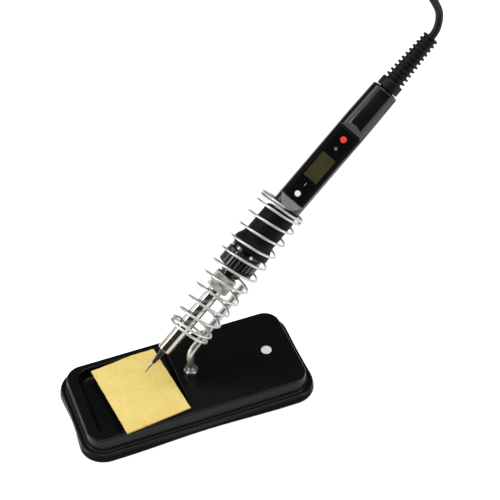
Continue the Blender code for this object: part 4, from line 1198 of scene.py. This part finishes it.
def make_tip_and_barrel():
    tip = iron_revolve(
        "pointed_tip",
        [
            (3.1, 42.9), (3.1, 17.9), (2.35, 17.5), (1.8, 14.3), (0.86, 7.2), (0.62, 6.8),
            (0.5, 5.9), (0.26, 0.45), (0.0, 0.0), (0.0, 22.2), (2.1, 23.2), (2.1, 42.9),
        ],
        TIP,
        [0.1, 0.3, 0.3, 0, 0.2, 0.2, 0.5, 0.2, 0, 0, 0, 0],
        72,
    )
    on_iron(tip, "soldering_tip")
    barrel = iron_revolve(
        "barrel_tube",
        [
            (4.0, 61.7), (4.0, 16.7), (3.7, 16.4), (2.6, 16.4), (2.6, 17.2), (3.4, 17.2),
            (3.4, 62.6), (4.9, 62.6), (4.9, 61.7),
        ],
        BARREL,
        [0, 0.35, 0.3, 0.15, 0, 0, 0, 0, 0],
        96,
    )
    on_iron(barrel, "heater_barrel")


def knurl(teeth, depth, low, high, fade=0.5):
    """Straight ribs between two heights, fading out at both ends."""

    def shape(turn, radius, height):
        z = height / MM
        if radius < (6.5 - 0.85) * MM or not low - 0.01 <= z <= high + 0.01:
            return radius
        edge = min(ease((z - low) / fade), ease((high - z) / fade))
        wave = 0.5 - 0.5 * cos(turn * teeth)
        return radius - depth * MM * (1 - wave**0.7) * edge

    return shape


def make_barrel_nut():
    profile = []
    low, high, r = 59.8, 69.4, 6.5
    groove = 64.0
    outline = [
        (4.3, low), (r - 0.45, low), (r, low + 0.45), (r, groove - 0.75),
        (r - 0.85, groove - 0.3), (r - 0.85, groove + 0.3), (r, groove + 0.75),
        (r, high - 0.45), (r - 0.45, high), (5.2, high), (5.2, 61.4), (4.3, 61.4),
    ]
    for i, (a, b) in enumerate(outline):
        c, d = outline[(i + 1) % len(outline)]
        steps = max(1, round(abs(d - b) / 0.25)) if a == c == r else 1
        profile += [(a + (c - a) * k / steps, b + (d - b) * k / steps) for k in range(steps)]
    ribs = 32
    nut = revolve(
        "knurled_nut",
        scaled(profile),
        NICKEL,
        IRON,
        ribs * 10,
        True,
        lambda t, rr, h: knurl(ribs, 0.5, low + 0.4, groove - 0.7)(t, rr, h)
        if h < groove * MM
        else knurl(ribs, 0.5, groove + 0.7, high - 0.4)(t, rr, h),
        28,
    )
    on_iron(nut, "barrel_nut", "barrel_nut")


def make_collar():
    flutes = 22

    def scallops(turn, radius, height):
        z = height / MM
        if radius < 9.2 * MM or not 74.1 < z < 83.9:
            return radius
        edge = min(ease((z - 74.1) / 0.9), ease((83.9 - z) / 0.9))
        groove = abs(cos(turn * flutes / 2)) ** 14
        return radius - 0.4 * MM * groove * edge

    outline = [
        (5.6, 94.4), (5.6, 86.6), (8.75, 86.6), (8.75, 84.3), (9.7, 84.1), (10.05, 83.7),
        (10.05, 74.6), (9.7, 74.2), (8.4, 73.9), (6.0, 73.6), (5.7, 73.0), (5.6, 70.8),
        (4.8, 70.8), (4.8, 63.0), (2.2, 63.0), (2.2, 94.4),
    ]
    rounded = fillet([Vector((a, b, 0)) for a, b in outline], 0.3, 4, True)
    profile = []
    for i, point in enumerate(rounded):
        following = rounded[(i + 1) % len(rounded)]
        steps = 12 if point.x > 9.5 and following.x > 9.5 and abs(point.y - following.y) > 3 else 1
        profile += [
            (
            (point.x + (following.x - point.x) * k / steps) * MM,
            (point.y + (following.y - point.y) * k / steps) * MM,
        )
            for k in range(steps)
        ]
    collar = revolve("fluted_collar", profile, COLLAR, IRON, flutes * 14, True, scallops, 40)
    on_iron(collar, "front_collar")
    tabs = []
    for k in range(7):
        turn = radians(360 * k / 7) + SLOT_TURN
        tab = iron_block("slot_tab", (8.25, -0.6, 84.7), (9.9, 0.6, 86.4), WHITE)
        tab.data.transform(Matrix.Rotation(turn, 4, "Z"))
        bake(tab, 35, 0.14 * MM, 3, weighted=False)
        tabs.append(tab)
    tabs = join("collar_slot_tabs", tabs)
    on_iron(tabs, None)


TO_CAMERA = IRON_TURN.inverted() @ Vector((-0.26, -0.61, 0.75))
SLOT_TURN = atan2(TO_CAMERA.y, TO_CAMERA.x) + pi / 7


def make_grip():
    """Rubber sleeve: rounded flange, waisted throat, then a plain straight part."""
    grip = iron_revolve(
        "grip_rubber_sleeve",
        [
            (7.2, 86.9), (10.65, 86.9), (11.15, 87.6), (11.15, 89.8), (10.75, 91.2),
            (9.45, 93.8), (9.0, 96.8), (8.95, 106.2), (8.95, 112.7), (8.2, 113.2), (7.2, 113.2),
        ],
        GRIP,
        [0.1, 0.6, 0.8, 1.2, 1.6, 3.0, 3.0, 0, 0.4, 0.4, 0.1],
        128,
        segments=8,
    )
    on_iron(grip, "grip_sleeve")


make_tip_and_barrel()
make_barrel_nut()
make_collar()
make_grip()


# ---------------------------------------------------------------- iron, handle
HANDLE_R, HANDLE_TOP_R = 8.25, 7.85
PANEL_FLAT, PANEL_TOP = 4.55, 5.45
PANEL_START, PANEL_END, PANEL_WIDTH = 122.9, 169.2, 11.8
FACET_START, FACET_END = 117.2, 173.7
LCD_START, LCD_END, LCD_WIDTH = 137.1, 152.7, 8.7
MINUS_AT, PLUS_AT = 127.2, 164.0
MINUS_R, PLUS_R = 1.58, 1.74


def handle_outline():
    outline = [
        (0.0, 197.9), (6.5, 197.9), (HANDLE_TOP_R, 197.2), (HANDLE_R, 175.8), (HANDLE_R, 114.1),
        (7.4, 113.6), (6.9, 113.6), (6.9, 87.2), (0.0, 87.2),
    ]
    return rounded_profile(outline, [0, 0.7, 0.9, 8, 0.4, 0.2, 0, 0.2, 0], 8)


def handle_inside():
    return scaled(
        [
            (0.0, 199.0), (4.5, 199.0), (4.5, 195.3), (5.85, 195.2), (6.45, 173.7),
            (6.45, 116.1), (5.9, 111.7), (5.9, 86.2), (0.0, 86.2),
        ]
    )


def half_cutter(name, low, high):
    return iron_block(name, (low, -14, 83), (high, 14, 203))


def lcd_window(name, low, high):
    half = LCD_WIDTH / 2
    return iron_block(name, (low, -half, LCD_START), (high, half, LCD_END))


def flat_cutter():
    """The wedge that leaves the flat and its two sloping ends; the front one meets it softly."""
    far = 12.0
    low_slope = (PANEL_START - FACET_START) / (HANDLE_R - PANEL_FLAT)
    high_slope = (FACET_END - PANEL_END) / (HANDLE_R - PANEL_FLAT)
    outline = [
        (far, PANEL_START - low_slope * (far - PANEL_FLAT)), (PANEL_FLAT, PANEL_START),
        (PANEL_FLAT, PANEL_END), (far, PANEL_END + high_slope * (far - PANEL_FLAT)),
    ]
    outline = fillet([Vector((x, z, 0)) for x, z in outline], [0, 0.3, 1.6, 0], 6)
    loops = [[Vector((p.x * MM, y * MM, p.y * MM)) for p in outline] for y in (-10, 10)]
    # Front sloping faces take the grey painted-highlight material; the rear step keeps the plain
    # black.
    cutter = loft("flat_wedge", loops, [HANDLE, FACET_PAINTED_HIGHLIGHT], IRON)
    for face in cutter.data.polygons:
        centre, normal = face.center, face.normal
        if centre.z < (PANEL_START + 0.5) * MM and abs(normal.y) < 0.5 and len(face.vertices) == 4:
            if abs(normal.x) < 0.98:
                face.material_index = 1
    return cutter


def make_handle():
    lower = revolve("handle_shell_lower", handle_outline(), HANDLE, IRON, 160, False)
    upper = revolve("handle_shell_upper", handle_outline(), [HANDLE, FACET_PAINTED_HIGHLIGHT], IRON, 160, False)
    seam = 0.06
    for shell, name, low, high in ((lower, "a", -seam, 14.0), (upper, "b", -14.0, seam)):
        hollow = revolve("hollow_" + name, handle_inside(), None, IRON, 64, False)
        if shell == upper:
            ceiling = iron_block("ceiling", (3.3, -10, 115.2), (12, 10, 175.8))
            cut(hollow, ceiling)
            bake(hollow, weighted=False)
        cut(shell, hollow)
        cut(shell, half_cutter("half_" + name, low, high))
    cut(upper, flat_cutter())
    window = lcd_window("window", 0.5, 8)
    cut(upper, window)
    for at, radius in ((MINUS_AT, MINUS_R), (PLUS_AT, PLUS_R)):
        cut(upper, rod_block("hole", (radius + 0.25) * MM, 0.5 * MM, 8 * MM, IRON, (0.0, at * MM)))
    cut(lower, rod_block("screw_space", 2.2 * MM, -12 * MM, -5 * MM, IRON, (0.0, 181.3 * MM)))
    bake(lower, 24, 0.1 * MM, 2)
    bake(upper, 24, 0.1 * MM, 2)
    on_iron(lower, "handle_lower_shell")
    on_iron(upper, "handle_upper_shell")
    screw = iron_screw()
    on_iron(screw, "handle_screw")


def iron_screw():
    turn = Matrix.Translation((-6.8 * MM, 0.0, 181.3 * MM)) @ Matrix.Rotation(radians(90), 4, "Y")
    profile = [(0.0, 0.05), (1.5, 0.05), (1.9, 0.4), (1.9, 1.5)]
    profile += [(1.0, 1.6), (1.0, 9.4), (0.0, 10.2)]
    screw = revolve(
        "case_screw", rounded_profile(profile, 0.12), FASTENER, IRON @ turn, 48, False
    )
    for k in range(2):
        across = IRON @ turn @ Matrix.Rotation(radians(90 * k + 20), 4, "Z")
        slot_cut = iron_block("slot_cut", (-1.2, -0.22, -0.5), (1.2, 0.22, 0.7), None, across)
        cut(screw, slot_cut)
    return bake(screw, 30, weighted=False)


def panel_mark(name, bars, at):
    """A printed sign on the panel: flat bars with a little thickness of ink."""
    pieces = []
    for across, along in bars:
        low = (PANEL_TOP - 0.02, -across / 2, at - along / 2)
        high = (PANEL_TOP + 0.03, across / 2, at + along / 2)
        bar = iron_block("bar", low, high, PRINT)
        bake(bar, 35, 0.012 * MM, 2, weighted=False)
        pieces.append(bar)
    mark = join(name, pieces)
    on_iron(mark, None)


def make_panel():
    half = PANEL_WIDTH / 2
    low = (PANEL_FLAT + 0.02, -half, PANEL_START + 0.2)
    cover = iron_block("panel_plate", low, (PANEL_TOP, half, PANEL_END - 0.2), PANEL)
    window = lcd_window("cover_window", PANEL_FLAT - 1, PANEL_TOP + 1)
    cut(cover, window)
    for at, radius in ((MINUS_AT, MINUS_R), (PLUS_AT, PLUS_R)):
        cut(cover, rod_block("hole", (radius + 0.12) * MM, 3 * MM, 7 * MM, IRON, (0.0, at * MM)))
    bake(cover, 30, 0.13 * MM, 3)
    on_iron(cover, "panel_cover")
    half = LCD_WIDTH / 2 - 0.06
    low = (PANEL_FLAT, -half, LCD_START + 0.06)
    glass = iron_block("display_face", low, (PANEL_TOP - 0.05, half, LCD_END - 0.06), LCD)
    bake(glass, 35, 0.08 * MM, 3)
    on_iron(glass, "lcd_glass")
    panel_mark("minus_sign", ((0.24, 1.9),), 133.4)
    panel_mark("plus_sign", ((0.2, 2.1), (2.1, 0.2)), 157.8)
    for node, at, radius, material, body in (
        ("minus_button", MINUS_AT, MINUS_R, WHITE, "minus_button"),
        ("plus_button", PLUS_AT, PLUS_R, RED, "plus_button"),
    ):
        turn = IRON @ Matrix.Translation((0, 0, at * MM)) @ Matrix.Rotation(radians(90), 4, "Y")
        profile = [(0.0, 6.01), (radius * 0.55, 6.05), (radius, 6.11), (radius, 2.4), (0.0, 2.4)]
        rounded = rounded_profile(profile, [0, 0.8, 0.35, 0.1, 0], 6)
        cap = revolve(node + "_cap", rounded, material, turn, 64, False)
        on_iron(cap, node, body)


def make_relief():
    """Neck, then rounded ribs that narrow towards the cord."""
    start, neck, end, ribs = 198.2, 203.7, 233.7, 11
    outline = [(0.0, start - 5.5), (4.1, start - 5.5), (4.1, start)]
    outline += [(6.35, start + 0.05), (6.35, neck - 0.6)]
    sizes = [0, 0, 0, 0.3, 0.4]
    outline.append((6.1, neck - 0.1))
    sizes.append(0.2)
    pitch = (end - neck) / ribs
    for i in range(ribs - 1, -1, -1):
        top = end - i * pitch
        rib = 4.55 + 1.35 * i / (ribs - 1)
        core = 3.6 + 0.65 * i / (ribs - 1)
        outline += [(core, top - pitch * 0.97), (core, top - pitch * 0.6)]
        outline += [(rib, top - pitch * 0.5), (rib, top - pitch * 0.08)]
        sizes += [0.25, 0.25, 0.5, 0.5]
    outline += [(3.6, end), (2.2, end), (2.2, end - 8.0), (0.0, end - 8.0)]
    sizes += [0.3, 0.3, 0, 0]
    relief = iron_revolve("ribbed_relief", outline, RELIEF, sizes, 96, closed=False, segments=5)
    on_iron(relief, "strain_relief")


make_handle()
make_panel()
make_relief()

for node, material in (
    ("heater_core", CERAMIC), ("circuit_board", BOARD), ("lcd_module", PANEL),
    ("minus_switch", PLUG), ("plus_switch", PLUG), ("heater_lead_a", LEADS),
    ("heater_lead_b", LEADS),
):
    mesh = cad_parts[node].data
    mesh.materials.clear()
    mesh.materials.append(material)

# ---------------------------------------------------------------- studio
FLOOR_WHITE = 0.9


def make_stage():
    n = Nodes("studio_floor")
    n.set("Base Color", n.ramp(n.noise(3.0, 3.0), (0.3, FLOOR_WHITE), (0.8, FLOOR_WHITE * 0.985)))
    n.set("Roughness", 0.9)
    n.set("Specular IOR Level", 0.0)
    n.set("Emission Color", (1.0, 1.0, 1.0, 1.0))
    n.set("Emission Strength", 0.55)
    bm = bmesh.new()
    bmesh.ops.create_circle(bm, cap_ends=True, segments=128, radius=3.0)
    floor = link("studio_floor", to_mesh("studio_floor", bm), n.material)
    floor.location = (0.0, 0.0, -0.0001)
    world = bpy.data.worlds.new("studio")
    world.use_nodes = True
    backdrop = world.node_tree.nodes["Background"]
    backdrop.inputs["Color"].default_value = (0.95, 0.97, 1.0, 1.0)
    backdrop.inputs["Strength"].default_value = 0.05
    bpy.context.scene.world = world


def softbox(name, location, target, size, power, colour=(1.0, 1.0, 1.0)):
    data = bpy.data.lights.new(name, "AREA")
    data.shape = "RECTANGLE"
    data.size, data.size_y = size
    data.energy = power
    data.color = colour
    lamp = bpy.data.objects.new(name, data)
    lamp.location = location
    way = Vector(target) - Vector(location)
    lamp.rotation_mode = "QUATERNION"
    lamp.rotation_quaternion = way.to_track_quat("-Z", "Y")
    bpy.context.scene.collection.objects.link(lamp)
    return lamp


make_stage()
centre = (0.0, 0.0, 0.09)
softbox("overhead", (0.05, -0.1, 1.5), centre, (1.3, 1.3), 17.0)
softbox("left_strip", (-1.05, 0.15, 0.62), centre, (0.35, 1.3), 9.0)
softbox("right_strip", (0.75, -0.75, 0.55), centre, (0.3, 1.2), 6.0)
softbox("back_strip", (-0.75, 0.75, 0.75), centre, (0.4, 1.0), 3.5, (0.93, 0.96, 1.0))
scene = bpy.context.scene
scene.view_settings.view_transform = "Standard"
scene.view_settings.look = "None"
